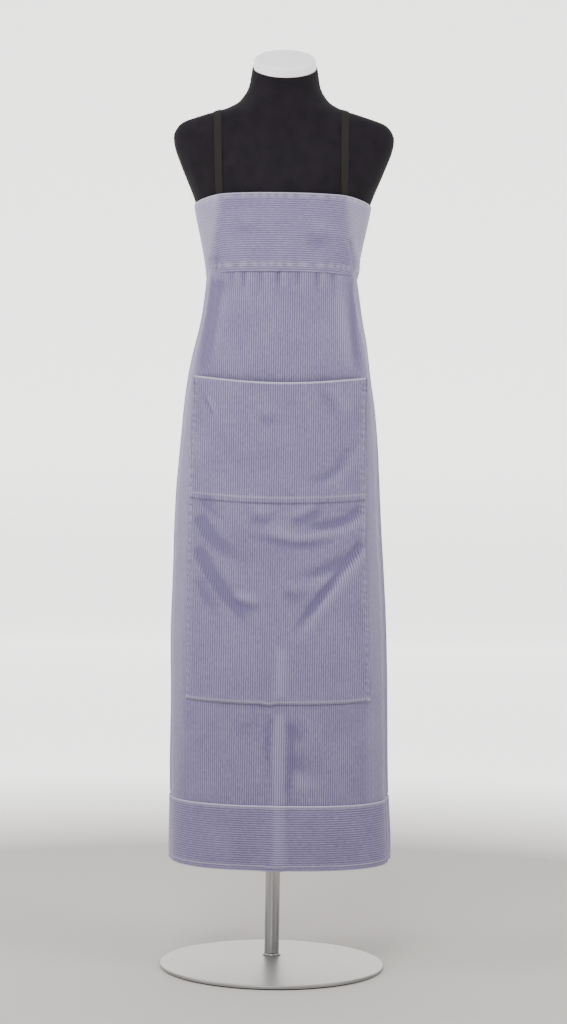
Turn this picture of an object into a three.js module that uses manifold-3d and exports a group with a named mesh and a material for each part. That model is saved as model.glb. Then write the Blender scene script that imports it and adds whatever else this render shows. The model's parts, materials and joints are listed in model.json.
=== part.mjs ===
// An apron dress of wide-wale corduroy on a headless, jersey-covered dress form, which stands on a
// round base with one sliding post. Millimetres, +Z up, the wearer faces -Y, and +X is to the right
// of someone who looks at the front. The origin is the centre of the base's underside.
import * as THREE from "three";
import { mergeVertices } from "three/addons/utils/BufferGeometryUtils.js";
import Module from "manifold-3d";

const wasm = await Module();
wasm.setup();

// ---- Sizes that fit pieces together ---------------------------------------------------------

const GAP = 0.4; // between two pieces that touch
const RUNNING = 0.4; // between a sliding or turning piece and its bore

// ---- Stand ----------------------------------------------------------------------------------

const PLATE_DIAMETER = 380;
const PLATE_THICKNESS = 5;
const PLATE_CHAMFER = 1.2;
const FELT_THICKNESS = 1.5;
const FELT_INSET = 4;
const POST_BACK = 62; // from the plate's centre back to the post's axis
const POST_DIAMETER = 25.4;
const POST_WALL = 1.5;
const POST_TOP = 560;
const FOOT_RING_WIDTH = 2.6;
const FOOT_RING_HEIGHT = 3;
const BOLT_DIAMETER = 10;
const BOLT_HEAD_DIAMETER = 20;
const BOLT_LENGTH = 36;
const PLUG_LENGTH = 40;
const BUSH_LENGTH = 40;
const BUSH_FLANGE = 3;
const COLLAR_WALL = 6;
const COLLAR_HEIGHT = 32;
const ROD_DIAMETER = 19;
const ROD_WALL = 1.5;
const ROD_BOTTOM = 300;
const GUIDE_LENGTH = 30;
const GUIDE_HEAD = 4;
const END_PLUG_LENGTH = 20;
const END_PLUG_HEAD = 3;

// Both locks are a screw with a round knob.
const LOCK_SCREW_DIAMETER = 8;
const LOCK_KNOB_DIAMETER = 30;
const LOCK_KNOB_THICKNESS = 14;
const LOCK_KNOB_LOBES = 6;
const LOCK_NECK = 12; // bare screw between the boss and the knob
const KNOB_COVER = 4; // of the knob past the end of its screw
const SOCKET_LOCK_UP = 22; // from the socket's lower end to its lock screw

// ---- Form -----------------------------------------------------------------------------------

const FORM_BASE = 800; // underside of the form above the floor
const HIP_HALF_WIDTH = 158;
const WAIST_HALF_WIDTH = 114;
const CHEST_HALF_WIDTH = 147.2;
const SHOULDER_HALF_WIDTH = 190.4;
const NECK_HALF_WIDTH = 58;
const NECK_TOP_RADIUS = 53.5;
const NECK_TILT = THREE.MathUtils.degToRad(29); // the neck's cut slopes down to the front
const SHELL_THICKNESS = 3.5;
const JERSEY_THICKNESS = 1;
const BOARD_THICKNESS = 12;
const BOARD_CLEARANCE = 1.4; // between the board's edge and the shell
const BOARD_SETBACK = 14; // the board sits this far up inside the shell
const FLANGE_DIAMETER = 92;
const FLANGE_THICKNESS = 4;
const FLANGE_SCREWS = 4;
const FLANGE_SCREW_CIRCLE = 70;
const FLANGE_SCREW_DIAMETER = 5;
const SCREW_HEAD = 3;
const SCREW_SHORT = 2; // a flange screw stops this far below the board's upper face
const SOCKET_WALL = 4;
const SOCKET_LENGTH = 110;
const CAP_DIAMETER = 109;
const CAP_THICKNESS = 16;
const CAP_LIP = 2; // height of the slightly wider lower edge
const CAP_LIP_OUT = 0.8;
const CAP_BEVEL = 2.4;
const SPIGOT_DIAMETER = 22;
const SPIGOT_LENGTH = 30;

// ---- Apron ----------------------------------------------------------------------------------

const CLOTH = 2.2; // thickness of the corduroy with its turnings
const HEM_HEIGHT = 176.5; // lower edge above the floor
const HEM_BAND = 109.5;
const BAND_BOTTOM = 1180;
const BAND_HEIGHT = 133;
const BAND_CLEARANCE = 1.2; // between the jersey and the fitted band
const BAND_SIDE_DROP = 10; // the band's upper edge is this much lower at the sides
const HEM_HALF_WIDTH = 190;
const HEM_FRONT_DEPTH = 152;
const HEM_BACK_DEPTH = 126;
const HEM_SWAY = 10.5; // the skirt hangs this far to +X at its hem
const BACK_OVERLAP = 60;
const LAP_CLEARANCE = 1.8; // between the two layers of the overlap
const POCKET_HALF_WIDTH_TOP = 142;
const POCKET_HALF_WIDTH_BOTTOM = 154.5;
const POCKET_BOTTOM = 459;
const POCKET_SEAM = 797;
const POCKET_TOP = 1004;
const POCKET_MOUTH_SAG = 13;
const POCKET_GAPE = 15; // how far the mouth stands off the front at its middle
const STRAP_WIDTH = 13;
const STRAP_THICKNESS = 1.1;
// From the middle to each strap's centre, at the band and at the top of the shoulder.
const STRAP_LEFT = [107, 115];
const STRAP_RIGHT = [104, 105];
const BUTTON_DIAMETER = 18;
const BUTTON_THICKNESS = 3.4;
const BUTTONS = 3;
const BUTTON_EDGE = [22, 20]; // from the band's lower and upper edges to the end buttons

const ROUND = 32; // faces round the form and the garment
const POCKET_CLEARANCE = 1.4; // between the front panel and the pocket where it is sewn down

// ---- Worked-out places ----------------------------------------------------------------------

const PLATE_UNDERSIDE = FELT_THICKNESS + GAP;
const PLATE_TOP = PLATE_UNDERSIDE + PLATE_THICKNESS;
const POST_FOOT = PLATE_TOP + GAP;
const POST_BORE = POST_DIAMETER / 2 - POST_WALL;
const BOARD_UNDERSIDE = FORM_BASE + BOARD_SETBACK;
const FLANGE_TOP = BOARD_UNDERSIDE - GAP;
const FLANGE_UNDERSIDE = FLANGE_TOP - FLANGE_THICKNESS;
const SOCKET_BOTTOM = FLANGE_TOP - SOCKET_LENGTH;
const SOCKET_CEILING = FLANGE_TOP - FLANGE_THICKNESS;
const ROD_TOP = SOCKET_CEILING - 6;
const BAND_TOP = BAND_BOTTOM + BAND_HEIGHT;
const HEM_BAND_TOP = HEM_HEIGHT + HEM_BAND;
const WAIST = FORM_BASE + 290;
const SHOULDER = FORM_BASE + 622;
const NECK_TOP = FORM_BASE + 742;
const JERSEY_OUT = GAP + JERSEY_THICKNESS; // outer face of the jersey off the shell
const EASE = JERSEY_OUT + BAND_CLEARANCE + CLOTH; // outer face of a fitted band off the shell

const FINISHES = {
  felt: [0x3a3a3c, 1, 0],
  steel: [0xb5b3b1, 0.35, 0.9],
  zinc: [0x9a9a98, 0.4, 0.9],
  nylon: [0x202224, 0.55, 0],
  shell: [0xd8d2c4, 0.6, 0],
  jersey: [0x232228, 0.95, 0],
  ply: [0xb08d5c, 0.7, 0],
  silver: [0xd4d5d8, 0.4, 0.6],
  corduroy: [0x9a98b4, 0.95, 0],
  elastic: [0x3a3734, 0.9, 0],
  button: [0x6f6c86, 0.3, 0],
};

// ---- Helpers --------------------------------------------------------------------------------

function named(name, geometry, finish) {
  const [color, roughness, metalness] = FINISHES[finish];
  const mesh = new THREE.Mesh(
    geometry,
    new THREE.MeshStandardMaterial({ color, roughness, metalness }),
  );
  mesh.name = name;
  return mesh;
}

// A solid of revolution about Z. The profile is [radius, height] pairs, anticlockwise with the
// radius to the right, and closes on itself unless it starts and ends on the axis.
function turned(profile, sides = 32) {
  const points = profile.map(([r, z]) => new THREE.Vector2(r, z));
  const last = points[points.length - 1];
  if (last.x > 0) points.push(points[0].clone());
  return new THREE.LatheGeometry(points, sides).rotateX(Math.PI / 2);
}

function tube(inner, outer, low, high, sides) {
  return turned([[inner, low], [outer, low], [outer, high], [inner, high]], sides);
}

function rod(radius, low, high, sides) {
  return turned([[0, low], [radius, low], [radius, high], [0, high]], sides);
}

function solidOf(geometry) {
  const bare = geometry.clone();
  bare.deleteAttribute("normal");
  bare.deleteAttribute("uv");
  const merged = mergeVertices(bare, 1e-4);
  return new wasm.Manifold(
    new wasm.Mesh({
      numProp: 3,
      vertProperties: merged.attributes.position.array,
      triVerts: new Uint32Array(merged.index.array),
    }),
  );
}

function geometryOf(solid) {
  const mesh = solid.getMesh();
  const geometry = new THREE.BufferGeometry();
  geometry.setAttribute("position", new THREE.BufferAttribute(mesh.vertProperties, 3));
  geometry.setIndex(new THREE.BufferAttribute(mesh.triVerts, 1));
  return geometry;
}

function cut(geometry, ...tools) {
  return geometryOf(tools.reduce((left, tool) => left.subtract(solidOf(tool)), solidOf(geometry)));
}

function kept(geometry, ...limits) {
  return geometryOf(limits.reduce((left, box) => left.intersect(solidOf(box)), solidOf(geometry)));
}

// A box by its lowest and highest corners.
function block(low, high) {
  const [sx, sy, sz] = high.map((value, k) => value - low[k]);
  return new THREE.BoxGeometry(sx, sy, sz).translate(
    low[0] + sx / 2,
    low[1] + sy / 2,
    low[2] + sz / 2,
  );
}

// A smooth curve through [place, value] pairs that never overshoots them.
function curve(pairs) {
  const places = pairs.map(([place]) => place);
  const values = pairs.map(([, value]) => value);
  const rises = values.slice(1).map((value, k) => (value - values[k]) / (places[k + 1] - places[k]));
  const slopes = values.map((_, k) => {
    const before = rises[k - 1] ?? rises[0];
    const after = rises[k] ?? rises[rises.length - 1];
    return before * after <= 0 ? 0 : (2 * before * after) / (before + after);
  });
  return (place) => {
    const inside = THREE.MathUtils.clamp(place, places[0], places[places.length - 1]);
    const found = places.findIndex((p, i) => i > 0 && inside <= p) - 1;
    const k = Math.max(0, found);
    const width = places[k + 1] - places[k];
    const t = (inside - places[k]) / width;
    const bend = t * t * (3 - 2 * t);
    const leave = t * (1 - t) * (1 - t) * width * slopes[k];
    const arrive = t * t * (t - 1) * width * slopes[k + 1];
    return values[k] + bend * (values[k + 1] - values[k]) + leave + arrive;
  };
}

// A closed sheet of material between an inner and an outer face, each given as a function of
// (across, up), both from 0 to 1. Across runs anticlockwise seen from above. A ring joins up.
function sheet(columns, rows, inner, outer, ring = false) {
  const wide = ring ? columns : columns + 1;
  const points = [];
  for (const side of [inner, outer]) {
    for (let j = 0; j <= rows; j++) {
      for (let i = 0; i < wide; i++) points.push(...side(i / columns, j / rows).toArray());
    }
  }
  const inside = (i, j) => j * wide + (i % wide);
  const outside = (i, j) => wide * (rows + 1) + inside(i, j);
  const faces = [];
  const quad = (a, b, c, d) => faces.push(a, b, c, a, c, d);
  for (let i = 0; i < columns; i++) {
    for (let j = 0; j < rows; j++) {
      quad(outside(i, j), outside(i + 1, j), outside(i + 1, j + 1), outside(i, j + 1));
      quad(inside(i, j), inside(i, j + 1), inside(i + 1, j + 1), inside(i + 1, j));
    }
    quad(inside(i, 0), inside(i + 1, 0), outside(i + 1, 0), outside(i, 0));
    quad(outside(i, rows), outside(i + 1, rows), inside(i + 1, rows), inside(i, rows));
  }
  for (let j = 0; j < rows && !ring; j++) {
    quad(inside(0, j + 1), inside(0, j), outside(0, j), outside(0, j + 1));
    quad(inside(columns, j), inside(columns, j + 1), outside(columns, j + 1), outside(columns, j));
  }
  const geometry = new THREE.BufferGeometry();
  geometry.setAttribute("position", new THREE.Float32BufferAttribute(points, 3));
  geometry.setIndex(faces);
  return geometry;
}

// Moves a point of a surface along the surface's own normal.
function offset(surface, turn, height, out) {
  const step = 1e-3;
  const rise = 0.5;
  const along = surface(turn + step, height).sub(surface(turn - step, height));
  const up = surface(turn, height + rise).sub(surface(turn, height - rise));
  return surface(turn, height).addScaledVector(along.cross(up).normalize(), out);
}

const power = (value, exponent) => Math.sign(value) * Math.abs(value) ** exponent;

// A point of a rounded section: turn 0 is at +X, 0.25 at the back and 0.75 in front.
function sectionPoint(turn, height, half, front, behind, squareness, tilt, centre) {
  const angle = turn * 2 * Math.PI;
  const x = half * power(Math.cos(angle), 2 / squareness);
  const deep = Math.sin(angle) > 0 ? behind : front;
  const y = deep * power(Math.sin(angle), 2 / squareness);
  return new THREE.Vector3(x, centre + y * Math.cos(tilt), height + y * Math.sin(tilt));
}

// ---- The form's shape -----------------------------------------------------------------------

const above = (height) => FORM_BASE + height;

const bodyHalf = curve([
  [above(0), HIP_HALF_WIDTH - 3],
  [above(80), HIP_HALF_WIDTH],
  [above(190), (HIP_HALF_WIDTH + 2 * WAIST_HALF_WIDTH) / 3 + 4],
  [WAIST, WAIST_HALF_WIDTH],
  [above(380), WAIST_HALF_WIDTH + 9],
  [above(500), CHEST_HALF_WIDTH],
  [above(567), (CHEST_HALF_WIDTH + 1.6 * SHOULDER_HALF_WIDTH) / 2.6],
  [above(601), SHOULDER_HALF_WIDTH - 3.4],
  [SHOULDER, SHOULDER_HALF_WIDTH],
  [above(640), SHOULDER_HALF_WIDTH - 8],
  [above(653), (SHOULDER_HALF_WIDTH * 3 + NECK_HALF_WIDTH) / 4 - 7],
  [above(667), (SHOULDER_HALF_WIDTH * 2 + NECK_HALF_WIDTH * 3) / 5 - 7],
  [above(681), NECK_HALF_WIDTH + 20],
  [above(700), NECK_HALF_WIDTH + 4.5],
  [above(716), NECK_HALF_WIDTH],
  [NECK_TOP, NECK_TOP_RADIUS],
]);
const bodyFront = curve([
  [above(0), 98],
  [above(80), 101],
  [above(200), 92],
  [WAIST, 82],
  [above(400), 88],
  [above(490), 101],
  [above(515), 98],
  [above(570), 80],
  [SHOULDER, 62],
  [above(667), 55],
  [above(700), 54],
  [NECK_TOP, NECK_TOP_RADIUS],
]);
const bodyBack = curve([
  [above(0), 112],
  [above(80), 117],
  [above(200), 100],
  [WAIST, 82],
  [above(400), 86],
  [above(510), 93],
  [above(570), 92],
  [SHOULDER, 72],
  [above(667), 57],
  [above(700), 55],
  [NECK_TOP, NECK_TOP_RADIUS],
]);
const bodyCentre = curve([
  [above(500), POST_BACK],
  [above(640), POST_BACK + 8],
  [above(690), POST_BACK + 6],
  [NECK_TOP, POST_BACK - 5],
]);
const bodySquareness = curve([
  [above(515), 2],
  [above(610), 2.5],
  [above(650), 2.5],
  [above(700), 2],
]);
const bodyTilt = curve([
  [above(660), 0],
  [above(690), NECK_TILT * 0.3],
  [NECK_TOP, NECK_TILT],
]);

function bodyPoint(turn, height) {
  return sectionPoint(
    turn,
    height,
    bodyHalf(height),
    bodyFront(height),
    bodyBack(height),
    bodySquareness(height),
    bodyTilt(height),
    bodyCentre(height),
  );
}

// Heights of the form's rings, closer together where it turns quickly.
const BODY_LEVELS = [
  ...[0, 90, 190, 290, 390, 460, 510, 560, 600, 625, 643, 656, 668, 682, 706].map(above),
  NECK_TOP + 4,
];

const bodyLevel = (up) => BODY_LEVELS[Math.round(up * (BODY_LEVELS.length - 1))];

function bodyShell(inner, outer) {
  return sheet(
    ROUND,
    BODY_LEVELS.length - 1,
    (turn, up) => offset(bodyPoint, turn, bodyLevel(up), inner),
    (turn, up) => offset(bodyPoint, turn, bodyLevel(up), outer),
    true,
  );
}

// What is left of a piece below the neck's sloping cut.
function belowNeckCut(geometry) {
  return kept(geometry, onNeck(block([-400, -500, -1200], [400, 500, 0])));
}

// The whole form as one solid, its skin moved out by that much.
function bodySolid(out, levels = BODY_LEVELS) {
  const rows = levels.length - 1;
  const skin = (turn, up) => offset(bodyPoint, turn, levels[Math.round(up * rows)], out);
  const axis = (turn, up) => {
    const height = levels[Math.round(up * rows)];
    return new THREE.Vector3(0, bodyCentre(height), height);
  };
  const points = [];
  for (let j = 0; j <= rows; j++) {
    for (let i = 0; i < ROUND; i++) points.push(...skin(i / ROUND, j / rows).toArray());
  }
  const foot = points.length / 3;
  points.push(...axis(0, 0).toArray(), ...axis(0, 1).toArray());
  const at = (i, j) => j * ROUND + (i % ROUND);
  const faces = [];
  for (let i = 0; i < ROUND; i++) {
    for (let j = 0; j < rows; j++) {
      faces.push(at(i, j), at(i + 1, j), at(i + 1, j + 1));
      faces.push(at(i, j), at(i + 1, j + 1), at(i, j + 1));
    }
    faces.push(foot, at(i + 1, 0), at(i, 0));
    faces.push(foot + 1, at(i, rows), at(i + 1, rows));
  }
  const geometry = new THREE.BufferGeometry();
  geometry.setAttribute("position", new THREE.Float32BufferAttribute(points, 3));
  geometry.setIndex(faces);
  return geometry;
}

// ---- The garment's shape --------------------------------------------------------------------

// Each is the outer face of the cloth, and never closer to the form than a fitted band is.
const clothHalf = curve([
  [HEM_HEIGHT, HEM_HALF_WIDTH - 1],
  [HEM_HEIGHT + 45, HEM_HALF_WIDTH],
  [HEM_HEIGHT + 100, HEM_HALF_WIDTH - 3],
  [HEM_HEIGHT + 300, HEM_HALF_WIDTH - 4.5],
  [HEM_HEIGHT + 570, HEM_HALF_WIDTH - 12],
  [FORM_BASE + 100, HIP_HALF_WIDTH + 11],
  [FORM_BASE + 203, HIP_HALF_WIDTH],
  [BAND_BOTTOM - 100, bodyHalf(BAND_BOTTOM - 100) + 29],
  [BAND_BOTTOM - 22, bodyHalf(BAND_BOTTOM - 22) + 6.5],
  [BAND_BOTTOM, bodyHalf(BAND_BOTTOM) + 5.6],
  [BAND_TOP, bodyHalf(BAND_TOP) + EASE],
]);
const clothFront = curve([
  [HEM_HEIGHT, HEM_FRONT_DEPTH],
  [HEM_HEIGHT + 200, HEM_FRONT_DEPTH - 3],
  [HEM_HEIGHT + 420, HEM_FRONT_DEPTH - 8],
  [POCKET_SEAM, bodyFront(POCKET_SEAM) + 36],
  [POCKET_TOP, bodyFront(POCKET_TOP) + 29],
  [BAND_BOTTOM, bodyFront(FORM_BASE + 490) + EASE + 1],
  [BAND_TOP - 25, bodyFront(FORM_BASE + 490) + EASE + 1],
  [BAND_TOP, bodyFront(BAND_TOP) + EASE + 1],
]);
const clothBack = curve([
  [HEM_HEIGHT, HEM_BACK_DEPTH],
  [HEM_HEIGHT + 500, HEM_BACK_DEPTH],
  [FORM_BASE + 80, bodyBack(FORM_BASE + 80) + EASE + 4],
  [BAND_BOTTOM - 80, bodyBack(BAND_BOTTOM - 80) + 16],
  [BAND_BOTTOM, bodyBack(BAND_BOTTOM) + 8],
  [BAND_TOP, bodyBack(BAND_TOP) + EASE + 1],
]);
const clothSquareness = curve([
  [FORM_BASE, 2.5],
  [BAND_BOTTOM, 2.25],
  [BAND_TOP, 2.1],
]);

// How far the skirt hangs to +X of the post.
const clothSway = curve([
  [HEM_HEIGHT, HEM_SWAY],
  [POCKET_BOTTOM, HEM_SWAY / 2 - 1],
  [POCKET_SEAM, -2.5],
  [BAND_BOTTOM - 80, 0],
]);

function clothPoint(turn, height) {
  const near = (value, body) => Math.max(value, body + EASE);
  const point = sectionPoint(
    turn,
    height,
    near(clothHalf(height), bodyHalf(height)),
    near(clothFront(height), bodyFront(height)),
    near(clothBack(height), bodyBack(height)),
    clothSquareness(height),
    0,
    POST_BACK,
  );
  point.x += clothSway(height);
  return point;
}

const SIDE_RIGHT = 0.955; // turns at which the front panel meets the back panels
const SIDE_LEFT = 0.545;
const BACK_MIDDLE = 0.25;
const SEAM = 0.0004; // turn left open at a seam

// The turn that lies that far from the centre back at a height, towards +X if positive.
function backTurn(distance, height) {
  const half = clothHalf(height);
  const share = Math.abs(distance / half) ** (clothSquareness(height) / 2);
  return BACK_MIDDLE - (Math.sign(distance) * Math.asin(share)) / (2 * Math.PI);
}

// A panel of cloth between two turns and two heights. Out moves its outer face.
function panel(columns, rows, turnAt, heightAt, out = () => 0) {
  const face = (across, up, depth) => {
    const height = heightAt(across, up);
    const turn = turnAt(across, height);
    return offset(clothPoint, turn, height, out(across, height) - depth);
  };
  return sheet(
    columns,
    rows,
    (across, up) => face(across, up, CLOTH),
    (across, up) => face(across, up, 0),
  );
}

const mix = THREE.MathUtils.lerp;

// ---- Stand pieces ---------------------------------------------------------------------------

// The countersunk bolt, or the hole it goes in if it is made larger all round.
function baseBolt(extra) {
  const r = BOLT_DIAMETER / 2 + extra;
  const head = BOLT_HEAD_DIAMETER / 2 + extra;
  const low = PLATE_UNDERSIDE + (extra > 0 ? -1 : GAP);
  const cone = PLATE_UNDERSIDE + GAP + 0.5;
  const tip = PLATE_UNDERSIDE + BOLT_LENGTH + extra;
  return turned([[0, low], [head, low], [head, cone], [r, cone + head - r], [r, tip], [0, tip]]);
}

const atPost = (geometry) => geometry.translate(0, POST_BACK, 0);

function standPieces() {
  const plate = PLATE_DIAMETER / 2;
  const c = PLATE_CHAMFER;
  const felt = rod(plate - FELT_INSET, 0, FELT_THICKNESS, 72);
  const disc = turned(
    [[0, PLATE_UNDERSIDE], [plate - c, PLATE_UNDERSIDE], [plate, PLATE_UNDERSIDE + c],
      [plate, PLATE_TOP - c], [plate - c, PLATE_TOP], [0, PLATE_TOP]],
    72,
  );
  const hole = () => atPost(baseBolt(RUNNING));
  const plugLow = POST_FOOT;
  const bushLow = POST_TOP - BUSH_LENGTH;
  const bushIn = ROD_DIAMETER / 2 + RUNNING;
  const collarLow = POST_TOP - COLLAR_HEIGHT;
  const collarIn = POST_DIAMETER / 2 + GAP;
  const collarOut = collarIn + COLLAR_WALL;
  const lockHole = () => lockBore(HEIGHT_LOCK);
  return [
    named("base_felt", cut(felt, atPost(rod(BOLT_HEAD_DIAMETER / 2 + 3, -1, 4))), "felt"),
    named("base_plate", cut(disc, hole()), "steel"),
    named("base_bolt", atPost(baseBolt(0)), "zinc"),
    named(
      "post_plug",
      cut(atPost(rod(POST_BORE - GAP, plugLow, plugLow + PLUG_LENGTH)), hole()),
      "zinc",
    ),
    named("post_tube", cut(atPost(tube(POST_BORE, POST_DIAMETER / 2, POST_FOOT, POST_TOP)),
      lockHole()), "steel"),
    named(
      "post_foot_ring",
      atPost(tube(POST_DIAMETER / 2 + GAP, POST_DIAMETER / 2 + GAP + FOOT_RING_WIDTH, POST_FOOT,
        POST_FOOT + FOOT_RING_HEIGHT)),
      "steel",
    ),
    named(
      "post_bush",
      cut(
        atPost(turned([[bushIn, bushLow], [POST_BORE - GAP, bushLow],
          [POST_BORE - GAP, POST_TOP + GAP], [POST_DIAMETER / 2, POST_TOP + GAP],
          [POST_DIAMETER / 2, POST_TOP + GAP + BUSH_FLANGE], [bushIn, POST_TOP + GAP + BUSH_FLANGE]])),
        lockHole(),
      ),
      "nylon",
    ),
    named("height_collar", cut(atPost(tube(collarIn, collarOut, collarLow, POST_TOP)), lockHole()),
      "zinc"),
  ];
}

// ---- Locks ----------------------------------------------------------------------------------

// A lock's screw points at the rod. `tip` and `boss` are distances from the post's axis, and
// `way` is +1 for a knob behind the post and -1 for one in front.
const HEIGHT_LOCK = {
  name: "height",
  z: POST_TOP - COLLAR_HEIGHT / 2,
  way: 1,
  tip: ROD_DIAMETER / 2 + GAP,
  boss: POST_DIAMETER / 2 + GAP + COLLAR_WALL,
};
const SWIVEL_LOCK = {
  name: "swivel",
  z: SOCKET_BOTTOM + SOCKET_LOCK_UP,
  way: 1,
  tip: ROD_DIAMETER / 2 + GAP,
  boss: ROD_DIAMETER / 2 + RUNNING + SOCKET_WALL,
};

// Turns a piece made along +Z from the axis so that it points out at the lock's height.
function towards(lock, geometry) {
  return geometry.rotateX(-lock.way * Math.PI / 2).translate(0, POST_BACK, lock.z);
}

function lockBore(lock) {
  return towards(lock, rod(LOCK_SCREW_DIAMETER / 2 + RUNNING, 0, lock.boss + 5, 24));
}

function knobOutline() {
  const shape = new THREE.Shape();
  const steps = LOCK_KNOB_LOBES * 8;
  for (let k = 0; k < steps; k++) {
    const angle = (k / steps) * 2 * Math.PI;
    const r = (LOCK_KNOB_DIAMETER / 2) * (0.93 + 0.07 * Math.cos(LOCK_KNOB_LOBES * angle));
    if (k === 0) shape.moveTo(r * Math.cos(angle), r * Math.sin(angle));
    else shape.lineTo(r * Math.cos(angle), r * Math.sin(angle));
  }
  shape.closePath();
  return shape;
}

function lockPieces(lock) {
  const knobAt = lock.boss + LOCK_NECK;
  const screwEnd = knobAt + LOCK_KNOB_THICKNESS - KNOB_COVER;
  const screw = rod(LOCK_SCREW_DIAMETER / 2, lock.tip, screwEnd, 24);
  const knob = new THREE.ExtrudeGeometry(knobOutline(), {
    depth: LOCK_KNOB_THICKNESS,
    bevelEnabled: false,
  }).translate(0, 0, knobAt);
  const pocket = rod(LOCK_SCREW_DIAMETER / 2 + GAP, knobAt - 1, screwEnd + GAP, 24);
  return [
    named(lock.name + "_screw", towards(lock, screw), "zinc"),
    named(lock.name + "_knob", towards(lock, cut(knob, pocket)), "nylon"),
  ];
}

// ---- Column ---------------------------------------------------------------------------------

function columnPieces() {
  const r = ROD_DIAMETER / 2;
  const bore = r - ROD_WALL;
  const guideLow = ROD_BOTTOM - GAP - GUIDE_HEAD;
  const plugLow = ROD_TOP - END_PLUG_LENGTH;
  return [
    named("rod_tube", atPost(tube(bore, r, ROD_BOTTOM, ROD_TOP)), "steel"),
    named(
      "rod_guide",
      atPost(turned([[0, guideLow], [POST_BORE - RUNNING, guideLow],
        [POST_BORE - RUNNING, ROD_BOTTOM - GAP], [bore - GAP, ROD_BOTTOM - GAP],
        [bore - GAP, ROD_BOTTOM + GUIDE_LENGTH], [0, ROD_BOTTOM + GUIDE_LENGTH]])),
      "nylon",
    ),
    named(
      "rod_end_plug",
      atPost(turned([[0, plugLow], [bore - GAP, plugLow], [bore - GAP, ROD_TOP + GAP],
        [r, ROD_TOP + GAP], [r, ROD_TOP + GAP + END_PLUG_HEAD], [0, ROD_TOP + GAP + END_PLUG_HEAD]])),
      "nylon",
    ),
  ];
}

// ---- Form pieces ----------------------------------------------------------------------------

// The neck's own axis, which leans forward, with its origin in the middle of the neck's cut.
function onNeck(geometry) {
  return geometry.rotateX(NECK_TILT).translate(0, bodyCentre(NECK_TOP), NECK_TOP);
}

// One piece for each flange screw, moved out to its place on the screw circle.
function atFlangeScrews(make) {
  const made = [];
  for (let k = 0; k < FLANGE_SCREWS; k++) {
    const angle = ((k + 0.5) / FLANGE_SCREWS) * 2 * Math.PI;
    const x = (FLANGE_SCREW_CIRCLE / 2) * Math.cos(angle);
    const y = (FLANGE_SCREW_CIRCLE / 2) * Math.sin(angle);
    made.push(make().translate(x, POST_BACK + y, 0));
  }
  return made;
}

function flangeScrews() {
  const r = FLANGE_SCREW_DIAMETER / 2;
  const tip = BOARD_UNDERSIDE + BOARD_THICKNESS - SCREW_SHORT;
  const under = FLANGE_UNDERSIDE - GAP;
  const low = under - SCREW_HEAD;
  const screw = () =>
    turned([[0, low], [2 * r, low], [2 * r, under], [r, under], [r, tip], [0, tip]], 20);
  return atFlangeScrews(screw).map((made, k) => named("flange_screw_" + (k + 1), made, "zinc"));
}

function screwHoles() {
  const end = BOARD_UNDERSIDE + BOARD_THICKNESS - SCREW_SHORT + 1;
  return atFlangeScrews(() => rod(FLANGE_SCREW_DIAMETER / 2 + GAP, FLANGE_UNDERSIDE - 2, end, 20));
}

function formPieces() {
  const inset = -(SHELL_THICKNESS + GAP);
  const boardInset = -(SHELL_THICKNESS + BOARD_CLEARANCE);
  const board = bodySolid(boardInset, [BOARD_UNDERSIDE, BOARD_UNDERSIDE + BOARD_THICKNESS]);
  const bore = ROD_DIAMETER / 2 + RUNNING;
  const socket = turned([[bore, SOCKET_BOTTOM], [bore + SOCKET_WALL, SOCKET_BOTTOM],
    [bore + SOCKET_WALL, FLANGE_UNDERSIDE], [FLANGE_DIAMETER / 2, FLANGE_UNDERSIDE],
    [FLANGE_DIAMETER / 2, FLANGE_TOP], [0, FLANGE_TOP], [0, SOCKET_CEILING],
    [bore, SOCKET_CEILING]]);
  const neckBlock = bodySolid(inset, BODY_LEVELS.slice(-2));
  const spigotBore = onNeck(rod(SPIGOT_DIAMETER / 2 + RUNNING, -SPIGOT_LENGTH - 4, 5, 32));
  return [
    named("torso_shell", belowNeckCut(bodyShell(-SHELL_THICKNESS, 0)), "shell"),
    named("jersey_cover", belowNeckCut(bodyShell(GAP, JERSEY_OUT)), "jersey"),
    named("hip_board", cut(board, ...screwHoles()), "ply"),
    named("form_socket", cut(atPost(socket), ...screwHoles(), lockBore(SWIVEL_LOCK)), "zinc"),
    ...flangeScrews(),
    named("neck_block", belowNeckCut(cut(neckBlock, spigotBore)), "ply"),
  ];
}

function capPieces() {
  const r = CAP_DIAMETER / 2;
  const low = GAP;
  const high = GAP + CAP_THICKNESS;
  const side = r - CAP_LIP_OUT;
  const cap = turned([[0, low], [r, low], [r, low + CAP_LIP], [side, low + CAP_LIP + CAP_LIP_OUT],
    [side, high - CAP_BEVEL], [side - CAP_BEVEL, high], [0, high]], 48);
  const socketHole = rod(SPIGOT_DIAMETER / 4 + GAP, low - 1, low + 8, 24);
  const s = SPIGOT_DIAMETER / 2;
  const spigot = turned([[0, -SPIGOT_LENGTH], [s - 2, -SPIGOT_LENGTH], [s, -SPIGOT_LENGTH + 2],
    [s, 0], [s / 2, 0], [s / 2, low + 7], [0, low + 7]], 32);
  return [
    named("neck_cap", onNeck(cut(cap, socketHole)), "silver"),
    named("cap_spigot", onNeck(spigot), "nylon"),
  ];
}

// ---- Apron pieces ---------------------------------------------------------------------------

// The band's upper edge: level in front, and lower at the sides and the back.
function bandTop(turn) {
  const side = Math.abs(Math.cos(turn * 2 * Math.PI));
  const behind = Math.sin(turn * 2 * Math.PI) > 0;
  const share = behind ? 1 : Math.max(0, (side - 0.75) / 0.25) ** 2;
  return BAND_TOP - BAND_SIDE_DROP * share;
}

// How far the upper layer of the back overlap stands off.
const lift = CLOTH + LAP_CLEARANCE;

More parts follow.
